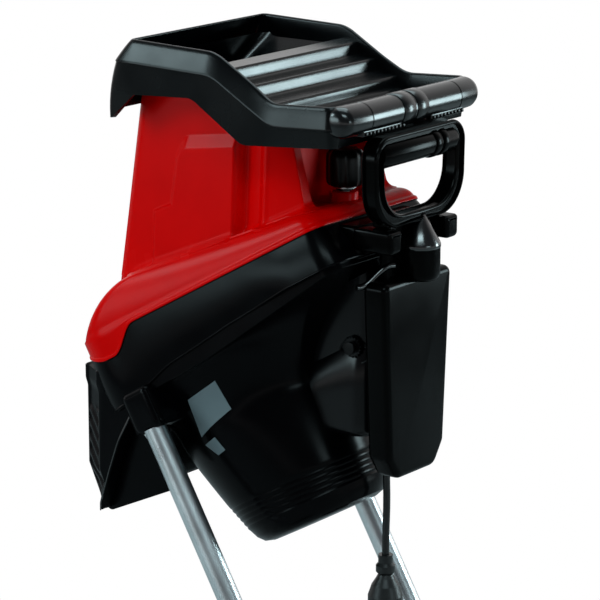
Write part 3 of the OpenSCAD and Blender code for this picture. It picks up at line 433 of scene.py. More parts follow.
# zinc plated steel: pale with a cool cloudy look
zinc = metal("steel, zinc plated", "A9ADAF", "CFD2D2", (0.28, 0.4), 3.0, (1, 1, 1))
# ground tool steel: fine parallel scratches
tool_steel = metal("tool steel, ground", "8F9294", "B4B7B8", (0.22, 0.36), 1.5, (8, 1, 1))
# motor core of stacked electrical steel: dark, with fine lines from sheet to sheet
core_sheet = metal("electrical steel, stacked sheet", "4A4C4E", "66686A", (0.4, 0.55), 0.6, (0.2, 0.2, 6))
# windings of enamelled copper: warm brown with fine turns
copper_wire = metal("copper, enamelled winding", "8A4A22", "B8703C", (0.3, 0.42), 1.2, (1, 1, 5))
# plug pins of nickel-plated brass: bright and a little warm
nickel = metal("brass, nickel plated", "BFC1BC", "DBDCD6", (0.15, 0.25), 4.0, (1, 1, 1))
print("materials", len(bpy.data.materials))

# %% [markdown]
# ## Finishes of the CAD nodes
# Legs, wheels, knives and motor keep the shape that OpenSCAD gave them and only need a finish. The
# leg tubes look a little thicker in the photograph. A new sweep could do that, but a Displace
# modifier grows the mesh that is there.

# %% Finish of every node
LEG_GROWTH = 1.4
NODE_FINISH = {
    "lower_casing": black_pp, "hood_screws": zinc, "stator": core_sheet, "field_coils": copper_wire,
    "brushes": carbon, "bearing_upper": tool_steel, "bearing_lower": tool_steel,
    "leg_left": leg_lacquer, "leg_right": leg_lacquer, "leg_plugs": cap_pvc, "leg_bolts": zinc,
    "cross_tube": leg_lacquer, "foot_caps": cap_pvc, "axle": zinc, "axle_spacers": cap_pvc,
    "axle_caps": cap_pvc, "hub_left": wheel_pp, "hub_right": wheel_pp, "hinge_pins": zinc,
    "hopper_screws": zinc, "spindle": zinc, "spindle_washer": zinc, "safety_pin": zinc,
    "safety_switch": fan_pa, "rotor_shaft": tool_steel, "armature": core_sheet,
    "commutator": copper_wire, "cooling_fan": fan_pa, "knife_disc": tool_steel,
    "knives": tool_steel, "knife_screws": zinc, "disc_nut": zinc, "switch_box": black_pp,
    "on_button": green_abs, "off_button": stop_abs, "reset_button": button_abs,
    "plunger_fork": stick_pp, "plug_pins": nickel, "handle_clip": hopper_pp, "tyre_left": tyre_rubber,
    "tyre_right": tyre_rubber, "cable_bushing": cord_pvc, "plug": cord_pvc,
    "discharge_hood": black_pp, "motor_housing": black_pp, "knob": knob_ph, "hopper": hopper_pp,
    "carry_handle": hopper_pp, "handle_rings": hopper_pp, "upper_casing": red_abs,
    "feed_tower": red_abs, "plunger_handle": stick_pp, "plunger_paddle": stick_pp, "cord": cord_pvc,
}
for name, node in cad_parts.items():
    node.data.materials.clear()
    node.data.materials.append(NODE_FINISH[name])
for name in ("leg_left", "leg_right"):
    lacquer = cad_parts[name].modifiers.new("lacquer", "DISPLACE")
    lacquer.strength = LEG_GROWTH * MM
    lacquer.mid_level = 0.0
cord_data.materials.append(cord_pvc)
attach(cord, "base")
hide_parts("cord")
print("CAD nodes finished", len(NODE_FINISH))

# %% [markdown]
# ## Red cover
# The cover is one deep moulding: its sides rise steeply from the parting line and roll over a bead
# onto a sloping ledge. Two tabs hang over the front corners. Bevels on a box would give one radius
# all round, so it is made of loops in the knife disc's frame that shrink from the base outline to
# the crown and on to the mouth of the tower.

# %% Outlines and edges of the cover
COVER_STEPS = [70, 40, 70, 40]
LEDGE_FALL = 0.1133
base_loop = rounded([(150, -106), (95, 233), (-95, 233), (-150, -106)], [45, 18, 18, 45], 16, COVER_STEPS)
crown_loop = rounded([(127.5, -30), (83.5, 213), (-83.5, 213), (-127.5, -30)], [38, 14, 14, 38], 16,
                     COVER_STEPS)
mouth_loop = rounded([(88, -27), (88, 118), (-88, 118), (-88, -27)], 16, 16, COVER_STEPS)


def crown(y):
    """Height of the ledge over the parting plane, which falls a little towards the rear."""
    return 48 - LEDGE_FALL * (y + 10)


def red_edge(loop):
    """Lower edge of the cover: level, but for the tabs that hang 25 mm at the front corners."""
    drop = 13 + 12 * ease(-104, -60, loop[:, 1])
    return -drop * (1 - ease(-50, -12, loop[:, 1])) * ease(76, 90, np.abs(loop[:, 0]))


print("cover outline", len(base_loop), "points")

# %% Cover
LIP_TOP = 4.6
BEAD_WIDE = 9
BEAD_HIGH = 2.4


def cover_rows():
    """Rows from the lower lip up the Bezier side, over the bead and along the ledge to the mouth."""
    n = outward(base_loop)
    edge = red_edge(base_loop)
    lip = ((1.3, 0.4), (2.4, 0.4), (2.6, 1.2), (2.6, 3.2), (1.9, 4.2), (1.4, LIP_TOP))
    rows = [np.column_stack([base_loop + n * out, edge + rise]) for out, rise in lip]
    rows += [np.column_stack([base_loop + n * 1.4, LIP_TOP + edge * s]) for s in (0.75, 0.5, 0.25, 0)]
    height = crown(crown_loop[:, 1])
    low = np.full(len(edge), LIP_TOP)
    nose = ease(0.1, 0.8, -n[:, 1])
    handle = crown_loop + (base_loop - crown_loop) * (0.45 - 0.12 * nose)[:, None]
    rise = 0.55 - 0.4 * nose
    for t in np.linspace(0, 1, 22)[1:]:
        w = bezier(t)
        xy = base_loop * (w[0] + w[1]) + handle * w[2] + crown_loop * w[3]
        z = low * w[0] + (low * (1 - rise) + height * rise) * w[1]
        z = z + (height + LEDGE_FALL * (crown_loop - handle)[:, 1]) * w[2] + height * w[3]
        rows.append(np.column_stack([xy, z]))
    inward = mouth_loop - crown_loop
    reach = np.linalg.norm(inward, axis=1)
    inward = inward / reach[:, None]
    for s in np.linspace(0, 1, 9)[1:]:
        xy = crown_loop + inward * (s * np.minimum(BEAD_WIDE, 0.7 * reach))[:, None]
        rows.append(np.column_stack([xy, crown(xy[:, 1]) + BEAD_HIGH * np.sin(math.pi * s) ** 2]))
    last = rows[-1][:, :2]
    for s in np.linspace(0, 1, 9)[1:]:
        xy = last + (mouth_loop - last) * s
        rows.append(np.column_stack([xy, crown(xy[:, 1])]))
    return from_disc(np.array(rows))


piece("red_cover", [grid(cover_rows())], "lid", red_abs, wall=1.2)

# %% [markdown]
# ## Feed tower
# The tower is a tapered box with an embossed panel on each side and two wings that flank the knob.
# Extruding a plan would need every wall tilted later. Here the corner points slide on straight lines
# from the base plan to the top plan, which is how the draft of a mould works, and the wall meets
# the ledge in a small flare.

# %% Plan and panel of the tower
TOWER_TOP = 868.0
TOWER_BASE = 600.0


def tower_plan(z):
    """Outline of the tower at one height: corners that drift with the draft of the mould."""
    f = (TOWER_TOP - z) / (TOWER_TOP - TOWER_BASE)
    wide = 82 + 15 * f
    front = -162.5 - 30 * f
    wing = 43 + (812 - z) * 0.28
    half = [(wide, front), (wide, -25), (wide - 10, -17), (wide - 6, 4), (wide + 1, 13), (wide - 13, wing),
            (56, wing - 3), (56, 4)]
    radii = [18, 3, 5, 8, 6, 1.5, 3, 10]
    corners = half + [(-x, y) for x, y in half[::-1]]
    steps = [90, 5, 8, 5, 12, 6, 14, 20, 14, 6, 12, 5, 8, 5, 90, 40]
    return rounded(corners, radii + radii[::-1], 8, steps)


def panel(y, z):
    """1 on the embossed side panel, 0 off it; its top edge is a broad bevel, its front a narrow one."""
    left = -134 + (22 + (z - 746) * 0.12) * np.clip((z - 738) / 10, 0, 1)
    top = 824 + (y + 84) * 0.138
    a = (y - left) / 7
    b = (top - z) / 13
    r = 2.2
    corner = r - np.hypot(np.maximum(r - a, 0), np.maximum(r - b, 0))
    return np.clip(corner, 0, 1) * (1 - ease(-23, -17, y))


print("tower plan", len(tower_plan(TOWER_TOP)), "points")

# %% Tower
WING_TOP = 836.0
FLARE = 9
EMBOSS = 5.5


def ledge_height(y):
    """Height of the ledge in the machine frame: it rises to the rear with the tilt of the disc."""
    return 732.3 + 0.4356 * y


def tower_rows():
    """Rows from below the ledge up to the roof, over it and down the inside of the duct."""
    top, base = tower_plan(TOWER_TOP), tower_plan(TOWER_BASE)
    mid = tower_plan(740)
    ledge = ledge_height(mid[:, 1])
    front = 1 - ease(-160, -120, mid[:, 1])
    low = ledge - 4 - 28 * front
    high = np.where(mid[:, 1] < -24, TOWER_TOP, WING_TOP)
    normal = outward(mid)
    side = np.sign(mid[:, 0]) * (np.abs(mid[:, 0]) > 60)
    rows = []
    for s in np.concatenate([np.linspace(0, 0.12, 14), np.linspace(0.12, 1, 150)[1:]]):
        z = low + (high - low) * s
        f = (TOWER_TOP - z) / (TOWER_TOP - TOWER_BASE)
        xy = top + (base - top) * f[:, None]
        lift = np.clip(z - ledge, 0, FLARE)
        flare = (FLARE - np.sqrt(FLARE ** 2 - (FLARE - lift) ** 2)) * (1 - front)
        xy = xy + normal * flare[:, None]
        xy[:, 0] += side * EMBOSS * panel(xy[:, 1], z) * (xy[:, 1] > -150)
        rows.append(np.column_stack([xy, z]))
    rim = np.column_stack([np.clip(top[:, 0], -81, 81), np.clip(top[:, 1], -160, -26.5)])
    duct = np.column_stack([np.clip(top[:, 0], -78.5, 78.5), np.clip(top[:, 1], -156.5, -29.5)])
    deep = np.column_stack([duct[:, 0] * 1.16, np.where(duct[:, 1] < -100, duct[:, 1] - 24, duct[:, 1])])
    rows += [np.column_stack([rim, high - 0.2]), level(rim, TOWER_TOP), level(duct, TOWER_TOP)]
    rows.append(np.column_stack([deep, 660 + 20 * ease(-110, -50, duct[:, 1])]))
    return np.array(rows)


piece("feed_tower_shell", [grid(tower_rows())], "lid", red_abs,
      ["upper_casing", "feed_tower"], sharp=50)

# %% [markdown]
# ## Shade sleeve in the chute
# The inside of the red feed chute is painted dark: a black sleeve is painted shade deep in the chute.
# The red wall could get a second material on its inner faces; the sleeve, with a lip under the hopper,
# also hides the joint between the two mouldings. It is a closed ring of six plans.

# %% Shade sleeve
SHADE_SLEEVE_FOOT = 740
LIP_UNDER = 869.5
LIP_OVER = 871.5
shade_sleeve_out = rounded([(78, -30), (78, -156), (-78, -156), (-78, -30)], 5, 5, 6)
shade_sleeve_in = rounded([(76.6, -31.4), (76.6, -154.6), (-76.6, -154.6), (-76.6, -31.4)], 4, 5, 6)
shade_sleeve_lip = rounded([(91, -27), (91, -164), (-91, -164), (-91, -27)], 8, 5, 6)
shade_sleeve_rows = [level(shade_sleeve_out, SHADE_SLEEVE_FOOT), level(shade_sleeve_out, LIP_UNDER), level(shade_sleeve_lip, LIP_UNDER),
              level(shade_sleeve_lip, LIP_OVER), level(shade_sleeve_in, LIP_OVER), level(shade_sleeve_in, SHADE_SLEEVE_FOOT)]
# black sleeve: painted shade inside the chute, and its lip covers the joint under the hopper
piece("chute_shade_sleeve", [grid(np.array(shade_sleeve_rows), ring=True)], "lid", black_pp)

# %% [markdown]
# ## Hopper
# A tray with a rolled rim: high around the feed mouth, then down a stepped ramp to a low platform.
# Boxes joined by a Boolean would leave hard seams, so the rim is one profile carried round the plan
# of the tray, with its top and bottom lines taken from the side view.

# %% Lines of the rim
rim_loop = rounded([(118, -144), (118, 124), (-118, 124), (-118, -144)], [9, 8, 8, 9], 14,
                   [150, 60, 150, 60])


def rim_top(y):
    """Top line of the rim in the side view."""
    return soft_line(y, [-160, -134, -28, 49, 124, 140], [925, 925, 922, 877, 881, 882], 9)


def skirt_foot(y):
    """Bottom line of the skirt in the side view."""
    return soft_line(y, [-169, -155, -145, -58, 8, 124], [841, 855, 866, 871, 829, 838], 6)


print("rim outline", len(rim_loop), "points")

# %% Rim and skirt
BAND_FOOT = 25.4
FLARE_REACH = 25
FLARE_DEPTH = 84


def rim_rows():
    """Lip, sloping band, recessed lower wall and back up the inside: (offset, drop) along the rim."""
    n = outward(rim_loop)
    y = rim_loop[:, 1]
    top = rim_top(y)
    foot = np.minimum(skirt_foot(y), top - 30)
    ahead = ease(0.0, 0.5, -n[:, 1])
    foot = foot + (839 + 8 * ease(0.75, 0.95, -n[:, 1]) - foot) * ahead
    depth = top - foot
    one = np.ones(len(y))
    lip = [(-6, 26), (-6, 14), (-6, 2.6)]
    lip += [(-3.4 + 2.6 * math.cos(a), 2.6 - 2.6 * math.sin(a)) for a in np.linspace(math.pi, 0.6, 7)[1:]]
    band = [(0.2, 4.5), (2.2, 10), (4.2, 16), (6.0, 21.5), (6.6, 23.4), (6.5, 24.6), (5.6, 25.2)]
    steep = 4.6 * ease(15, 60, y)
    rows = [(out + steep * (1 - min(drop, 24) / 24), drop * one) for out, drop in lip + band]
    rows.append(((3.2 + 2.4 * ahead) * one, BAND_FOOT * one))
    for s in np.linspace(0, 1, 8)[1:]:
        rows.append((3.2 - 2.4 * s + 2.4 * ahead, BAND_FOOT + (depth - BAND_FOOT) * s))
    rows.append((-2.2 * one, depth))
    rows.append((-3.5 * one, 27.5 * one))
    out = []
    for offset, drop in rows:
        flare = FLARE_REACH * ahead * (1 - (1 - np.clip(drop, 0, FLARE_DEPTH) / FLARE_DEPTH) ** 2)
        xy = rim_loop + n * offset[:, None]
        xy[:, 1] -= flare
        out.append(np.column_stack([xy, top - drop]))
    return np.array(out)


piece("hopper_rim", [grid(rim_rows(), ring=True)], "lid", hopper_pp, sharp=45)

# %% [markdown]
# ## Hopper deck and funnel
# Three treads step down the ramp, then the platform runs level to the handle. Loop cuts in a plane
# could be pulled into steps; one profile in the side view, carried across, keeps their heights in
# two short lists. The funnel joins the wide mouth to the duct.

# %% Deck and funnel
DECK_Y = [-37, -34, -12, -9.5, 12, 14.5, 41, 43.5, 60, 122]
DECK_Z = [906, 907, 905.5, 891, 889.5, 875.5, 873.5, 860, 859, 860.5]
DECK_THICK = 3
MOUTH_Z = 905
MOUTH_UNDER = 901
DUCT_Z = 866


def deck_rows():
    """Deck profile, softened at its corners, carried across, and a lower copy to close it."""
    y = np.linspace(DECK_Y[0], DECK_Y[-1], 240)
    z = soft_line(y, DECK_Y, DECK_Z, 0.9)
    ring_y = np.concatenate([y, y[::-1]])
    ring_z = np.concatenate([z, z[::-1] - DECK_THICK])
    x = np.linspace(-116, 116, 40)
    return np.stack([np.repeat(x[:, None], len(ring_y), 1), np.repeat(ring_y[None], len(x), 0),
                     np.repeat(ring_z[None], len(x), 0)], -1)


def funnel_rows():
    """Rectangle of the mouth shrinking to the rectangle of the duct, inside and outside."""
    wide = rounded([(116, -138), (116, -35), (-116, -35), (-116, -138)], [20, 4, 4, 20], 8, 20)
    slim = rounded([(79, -157), (79, -29.5), (-79, -29.5), (-79, -157)], [14, 6, 6, 14], 8, 20)
    n = outward(slim)
    rows = [level(wide + (slim - wide) * s, MOUTH_Z + (DUCT_Z - MOUTH_Z) * s) for s in np.linspace(0, 1, 8)]
    rows.append(level(slim + n * 1.2, DUCT_Z))
    rows += [level(wide + (slim - wide) * s + n * 2.5, MOUTH_UNDER + (DUCT_Z - MOUTH_UNDER) * s)
             for s in np.linspace(1, 0, 8)]
    return np.array(rows)


piece("hopper_deck", [grid(deck_rows(), caps=(True, True)), grid(funnel_rows(), ring=True)], "lid", tread_pp,
      ["hopper"], sharp=35)

# %% [markdown]
# ## Carry handle
# A round bar across the rear of the hopper with two raised grip rings in the middle, a seam near
# each end and a comb of small teeth underneath. A cylinder with loop cuts would do; a profile turned
# about X holds bar, seams and round ends in one list.

# %% Handle bar
BAR = (0, 131, 865)
BAR_R = 16.5
SEAM_R = 15.5


def bowed(sheet):
    """Both ends of the bar swing 4 mm forward into the hopper's cheeks, ever faster with distance."""
    points = sheet[0].copy()
    points[:, 1] -= 4 * np.clip((np.abs(points[:, 0]) - 76) / 46, 0, 1) ** 1.8
    return points, sheet[1], sheet[2]


bar_end = [(0.5, -122), (7, -121.6), (12, -119.8), (15.2, -116.5), (BAR_R, -112)]
bar_profile = bar_end + [(BAR_R, x) for x in np.arange(-110, -83, 2.0)]
for seam in (-80, 80):
    bar_profile += [(BAR_R, seam - 0.9), (SEAM_R, seam - 0.5), (SEAM_R, seam + 0.5), (BAR_R, seam + 0.9)]
bar_profile += [(BAR_R, x) for x in np.arange(84, 112, 2.0)]
bar_profile += [(r, -x) for r, x in bar_end[::-1]]
print("bar profile", len(bar_profile), "points")

# %% Rings, teeth and combs
TOOTH_STEP = 6.5
rings = []
for low, high in ((-18, 1), (5, 25)):
    ring = [(14, low - 0.5), (17.2, low), (17.9, low + 1), (17.9, high - 1), (17.2, high), (14, high + 0.5)]
    rings.append(revolve(ring, BAR, "X"))
teeth = []
for at in np.concatenate([np.arange(22, 92, TOOTH_STEP), np.arange(-86, -32, TOOTH_STEP)]):
    tooth = rounded([(at - 1.7, 0), (at + 1.7, 0), (at + 1.7, 3.4), (at - 1.7, 3.4)], 0.6, 3, 2)
    teeth.append(slab(tooth + np.array([0, 849]), 141.5, 144.6, 0.5, "Y", steps=3))
comb = [slab(rounded([(hi, 855), (lo, 855), (lo, 848), (hi, 848)], 1.5, 4, 12), 121, 143, 1.5, "Y")
        for lo, hi in ((18, 92), (-89, -30))]
piece("carry_bar", [bowed(revolve(bar_profile, BAR, "X"))] + rings + comb, "lid", tread_pp,
      ["carry_handle", "handle_rings"], sharp=35)
piece("carry_bar_teeth", teeth, "lid", hopper_pp, sharp=35)

# %% [markdown]
# ## Casing belt
# Under the red edge the casing carries on as a deep black belt, slightly bellied, with a sharp crease
# along its lower side. A bevelled copy of the solid could not change its depth along the side, so
# the belt is a skin of rows round the same outline, in the knife disc's frame.


# %% Belt
def belt_foot(y):
    """Depth of the belt's foot under the parting plane, less towards the rear."""
    return soft_line(y, [-106, 60, 233], [-80, -70, -46], 20)


def belt_crease(y):
    """Depth of the sharp line along the belt, which dives towards the front corner."""
    return soft_line(y, [-54, -27, 7, 46, 97, 178, 233], [-83, -67, -57, -53, -47, -41, -40], 6)


def belt_rows():
    """Rows from under the red edge down a bellied side to the crease, in a step and on to the foot."""
    n = outward(base_loop)
    y = base_loop[:, 1]
    top = red_edge(base_loop) - 0.9
    foot = belt_foot(y)
    line = np.maximum(belt_crease(y), foot + 3)
    flank = ease(120, 190, y)
    rows = [np.column_stack([base_loop - n * 4.0, top])]
    for s in np.linspace(0, 1, 16):
        belly = 1.0 + 2.4 * math.sin(math.pi * s * 0.8) + 7 * s * flank
        rows.append(np.column_stack([base_loop + n * belly[:, None], top + (line - top) * s]))
    edge = 2.6 + 7 * flank
    for out, fall in ((0.9, 0.9), (1.1, 1.4), (0.9, 1.9), (-0.4, 2.2)):
        rows.append(np.column_stack([base_loop + n * (edge + out)[:, None], line - fall]))
    rows.append(np.column_stack([base_loop + n * 0.7, line - 2.4]))
    for s in (0.3, 0.65, 1):
        rows.append(np.column_stack([base_loop + n * (0.7 - 0.2 * s), line - 2.4 + (foot + 2.4 - line) * s]))
    rows.append(np.column_stack([base_loop - n * 1.0, foot - 1.0]))
    rows.append(np.column_stack([base_loop - n * 4.0, foot - 1.0]))
    return from_disc(np.array(rows))


piece("casing_belt", [grid(belt_rows(), ring=True)], "base", black_pp, sharp=35)

# %% [markdown]
# ## Motor housing
# The underside of the casing gathers into a bowl and the bowl into the round motor bucket, all one
# flowing black moulding. Sculpting would blend them by eye. Loops that go from the crease outline
# to a circle along Bezier curves blend them by formula, and close at the foot.

# %% Motor bowl and bucket
BUCKET_R = 103
BUCKET_TOP = -140


def motor_rows():
    """Loops from under the belt through the bowl to the bucket's circle, with ribs near its foot."""
    plan = base_loop - outward(base_loop) * 4.5
    angle = np.arctan2(plan[:, 1] - 20, plan[:, 0])
    circle = np.column_stack([np.cos(angle), np.sin(angle)])
    foot = belt_foot(base_loop[:, 1]) - 0.5
    ring = circle * BUCKET_R
    bend = plan + (ring - plan) * 0.42
    rows = [np.column_stack([plan, foot + 12]), np.column_stack([plan, foot])]
    for t in np.linspace(0, 1, 26)[1:]:
        w = bezier(t)
        xy = plan * w[0] + bend * w[1] + ring * w[2] + ring * w[3]
        z = foot * w[0] + (foot - 8) * w[1] - 104 * w[2] + BUCKET_TOP * w[3]
        rows.append(np.column_stack([xy, z]))
    profile = [(102, -150), (99, -170), (95, -190), (89.5, -216)]
    for z in np.arange(-222, -250, -6.0):
        r = 89.5 + (z + 216) * 0.26
        profile += [(r, z), (r - 0.9, z - 1.2), (r - 0.9, z - 2.6), (r - 0.7, z - 3.8)]
    profile += [(79, -254), (76, -262), (70, -269), (60, -272), (30, -272), (2, -272)]
    for r, z in profile:
        shift = np.array([0, 11 * (BUCKET_TOP - z) / 127])
        rows.append(level(circle * r + shift, z))
    return from_disc(np.array(rows))


bowl = motor_rows()
piece("motor_bowl", [grid(bowl, caps=(True, True))], "base", black_pp,
      ["motor_housing"], sharp=35)

# %% [markdown]
# ## Plates on the motor
# Two plain grey plates sit flat on the motor's side. A Shrinkwrap modifier could press a plane onto
# it. Here each plate is a patch of the bowl's own grid between four corners, lifted a little along
# the surface normal, so it follows the bowl exactly.


# %% Plates
def draped(surface, corners, low, high, steps=10):
    """Patch between four (row, column) corners of a grid: its points, lifted along the normal, twice."""
    u = np.linspace(0, 1, steps)[:, None, None]
    v = np.linspace(0, 1, steps)[None, :, None]
    a, b, c, d = np.array(corners, float)
    at = a * (1 - u) * (1 - v) + b * (1 - u) * v + c * u * v + d * u * (1 - v)

    def sample(r, k):
        """Surface at fractional rows and columns: the four grid points around, weighed by nearness."""
        i = np.floor(r).astype(int)
        j = np.floor(k).astype(int)
        f = (r - i)[..., None]
        g = (k - j)[..., None]
        top_row = surface[i, j] * (1 - g) + surface[i, j + 1] * g
        low_row = surface[i + 1, j] * (1 - g) + surface[i + 1, j + 1] * g
        return top_row * (1 - f) + low_row * f

    r, k = at[..., 0], at[..., 1]
    here = sample(r, k)
    normal = np.cross(sample(r, k + 0.9) - sample(r, k - 0.9), sample(r + 0.5, k) - sample(r - 0.5, k))
    normal = normal / np.linalg.norm(normal, axis=-1)[..., None]
    normal = normal * np.sign(normal[..., :1])
    over, under = here + normal * high, here + normal * low
    return grid(np.concatenate([over, under[:, ::-1]], axis=1), caps=(True, True))


PLATES = [
    [(14.5, 31.3), (13.0, 43.5), (23.0, 45.6), (26.1, 29.6)],
    [(27.0, 29.0), (26.7, 35.0), (27.7, 36.0), (27.8, 32.0)],
]
piece("motor_plates", [draped(bowl, quad, -0.5, 0.7) for quad in PLATES], "base", plate_grey,
      sharp=30)

# %% [markdown]
# ## Discharge hood
# Shredded material falls out under this black hood at the front. Its side runs down to a long
# crease, behind which a flat plate is set back, and slanted ribs stiffen the corner. A plane could
# be folded and its ribs inset one by one. Here every height has one path from crease to crease, the
# sheet is rows of such paths, and a wave along them raises the ribs.

# %% Hood
RIB_STEP = 17
RIB_SLANT = 24


def hood_crease(z):
    """Depth of the long crease at each height, a gentle curve from the belt down to the lip."""
    return soft_line(z, [400, 420, 451, 489, 530, 559], [-178, -172, -162, -148, -125, -107], 5)


def hood_wide(z):
    """Half width of the hood: even, drawn in by 3 mm at its lower lip."""
    return 138 - 3 * (1 - ease(404, 416, z))


def hood_rows():
    """Paths round the front at each height: crease, side, ribbed corner, front and back again."""
    rows = []
    for z in np.concatenate([np.linspace(562, 470, 56), np.linspace(468, 406, 36)]):
        front = -204.5 + max(0.0, 452 - z) * 0.46 - 3 * float(ease(538, 549, z))
        wide = float(hood_wide(z))
        crease = float(hood_crease(z))
        start = min(front + 31, crease - 1)
        half = [(121, crease + 4), (wide - 1.5, crease + 1.6), (wide, crease), (wide, start),
                (120, front), (0, front)]
        counts = [3, 3, 8, 24, 14]
        path = []
        for (a, b), n in zip(zip(half[:-1], half[1:]), counts):
            t = np.linspace(0, 1, n, endpoint=False)[:, None]
            path.append(np.array(a) + (np.array(b) - np.array(a)) * t)
        path = np.concatenate(path + [np.array([half[-1]])])
        along = np.clip((path[:, 1] - front) / max(start - front, 1), 0, 1)
        on = ease(0.06, 0.16, along) * (1 - ease(0.84, 0.94, along))
        wave = ((z + along * RIB_SLANT) % RIB_STEP) / RIB_STEP
        rib = ease(0.12, 0.3, wave) * (1 - ease(0.62, 0.8, wave))
        rib = rib * ease(412, 424, z) * (1 - ease(512, 522, z))
        out = -1.8 * on * (1 - rib)
        path = path + np.array([0.78, -0.62]) * out[:, None]
        full = np.concatenate([path, path[-2::-1] * np.array([-1, 1])])
        rows.append(level(full, z))
    brow = [rows[0] * np.array([k, 1, 1]) + np.array([0, ahead, rise])
            for k, ahead, rise in ((0.9, 14, 3.5), (0.97, 5, 3), (0.99, 1.5, 1.5))]
    return np.array(brow + rows)


piece("hood_shell", [grid(hood_rows(), loop=False)], "base", black_pp, wall=2.5, sharp=35)

# %% Cheeks of the hood
cheek = rounded([(-182, 397.5), (-86, 441), (-97, 552), (-176, 536)], [7, 6, 3, 3], 8, 8)
cheeks = [slab(cheek, 115.5, 119.5, 1.2, "X"), slab(cheek, -119.5, -115.5, 1.2, "X")]
piece("hood_cheeks", cheeks, "base", black_pp, ["discharge_hood"], sharp=35)

# %% [markdown]
# ## Beads and socket pins
# A thin bead catches the light along each crease of the hood, and a plated pin runs into each leg
# socket. A curve with a bevel could draw them; a round section carried along a line of points makes
# a mesh with the same tools as the rest.

# %% Beads and pins
LEFT_RIGHT = (1, -1)


def on_side(points, side):
    """Points as they are on the left, side 1, or mirrored to the right, side -1."""
    return points * np.array([side, 1, 1])


def swept(points, radius, steps=12):
    """Round section carried along a line of points, square to the line at each of them."""
    p = np.array(points, float)
    along = np.gradient(p, axis=0)
    along = along / np.linalg.norm(along, axis=1)[:, None]
    side = np.cross(along, [0.3, 0.2, 1.0])
    side = side / np.linalg.norm(side, axis=1)[:, None]
    top = np.cross(side, along)
    rows = [p + radius * (math.cos(a) * side + math.sin(a) * top) for a in full_turn(steps)]
    return grid(np.stack(rows, 1), caps=(True, True))


bead_z = np.linspace(405, 552, 40)
bead = np.column_stack([hood_wide(bead_z) + 0.2, hood_crease(bead_z) + 0.4, bead_z])
piece("hood_beads", [swept(on_side(bead, side), 0.8, 8) for side in LEFT_RIGHT], "base", gloss_pp)
pin_line = np.linspace((141, -117, 516.5), (141, -100, 498.5), 6)
pin_head = np.linspace((141, -118.6, 518.2), (141, -115.6, 515), 4)
pins = [swept(on_side(line, side), r) for line, r in ((pin_line, 1.6), (pin_head, 3.2))
        for side in LEFT_RIGHT]
piece("socket_pins", pins, "base", zinc)

# %% [markdown]
# ## Leg sockets
# The casing holds each leg in a rounded socket. A cube with a Bevel modifier would come close, but
# its corners differ, so it is a slab of a rounded plan in the knife disc's frame.

# %% Sockets
socket_plan = rounded([(150.5, -61.5), (150.5, -20.5), (96, -20.5), (96, -61.5)], [9, 9, 4, 4], 8, 6)
socket = slab(socket_plan, -114, -66, 8, "Z", steps=7)
sockets = [(from_disc(on_side(socket[0], side)), socket[1], socket[2]) for side in LEFT_RIGHT]
piece("leg_sockets", sockets, "base", black_pp, sharp=50)

# %% [markdown]
# ## Switch box
# The switch box is a tall box whose rear corners are almost half round, so it melts into the motor.
# Its flank leans in above and carries an oval line and a toothed ring for the reset key. A lattice
# could bend a cube like this; plans that change with height say the lean in one line.


# %% Box and neck
def box_plan(wide, front, rear, r):
    """Plan of the box: sharp corners at the motor, round ones at the rear."""
    return rounded([(wide, front), (wide, rear), (-wide, rear), (-wide, front)], [3, r, r, 3], 12, 10)


def box_rows():
    """Plans from the rolled top line down a flank that leans in above, to a rolled lower edge."""
    rows = []
    for s in np.concatenate([np.linspace(0, 0.08, 6), np.linspace(0.1, 1, 24)]):
        lean = 10 * max(0.0, 1 - s / 0.5) ** 2 + 4 * (1 - ease(0, 0.05, s))
        roll = 10 * (1 - math.sqrt(max(0.0, 1 - max(0.0, (s - 0.88) / 0.12) ** 2)))
        plan = box_plan(38.6 - lean - roll, 10, 112.4 - 0.6 * lean - roll, 24)
        top = 577 + 0.6 * (plan[:, 1] - 20)
        rows.append(np.column_stack([plan, top + (509.5 - top) * s]))
    return np.array(rows)


def neck_rows():
    """Set-back block that joins the box to the casing, cut off along the casing's slope."""
    plan = box_plan(30, 10, 108, 14)
    return np.array([np.column_stack([plan, 632 + 0.577 * plan[:, 1]]), level(plan, 540)])


box = [grid(box_rows(), caps=(True, True)), grid(neck_rows(), caps=(True, True))]
print("box and neck", len(box), "sheets")


# %% Oval line and toothed ring
def dial_lobes(angle):
    """Eighteen square teeth round the ring: an eased cosine of 18 times the angle."""
    return 1 - 0.16 * ease(-0.3, 0.3, np.cos(18 * angle))


def ellipse(centre, radii, steps):
    """Closed outline: cosine and sine of a full turn, each times its radius, about a centre."""
    angle = full_turn(steps)
    return np.column_stack([centre[0] + radii[0] * np.cos(angle), centre[1] + radii[1] * np.sin(angle)])


RESET = (90, 610)
OVAL_R = 1.1
oval = ellipse((90, 604), (19, 12), 64)
oval_rows = []
for angle in full_turn(8):
    lean_x = 31.2 + (600 - oval[:, 1]) * 0.12 + OVAL_R * math.sin(angle)
    oval_rows.append(np.column_stack([lean_x, oval + outward(oval) * (OVAL_R * math.cos(angle))]))
dial_profile = [(7.6, 28), (12, 28), (12, 35.4), (11.2, 36.4), (7.6, 36.4)]
dial = revolve(dial_profile, (0, *RESET), "X", 144, dial_lobes)
piece("switch_box_shell", box + [grid(np.array(oval_rows), ring=True), dial], "base", box_pp,
      ["switch_box"])

# %% [markdown]
# ## Reset cap
# A small round key sits in the toothed ring. A bevelled cylinder would do as well; the slab tool
# already rounds both edges.

# %% Cap
cap = slab(ellipse(RESET, (7, 7), 48), 36.2, 43, 1.2, "X")
piece("reset_cap", [cap], "reset_key", knob_ph, ["reset_button"])

# %% [markdown]
# ## Fork caps
# The push stick hangs in a fork at the rear of the casing. A Bevel modifier would tear the loose
# triangles of the CAD fork, so three slabs with soft edges lie over its two prongs and the bridge
# between them.

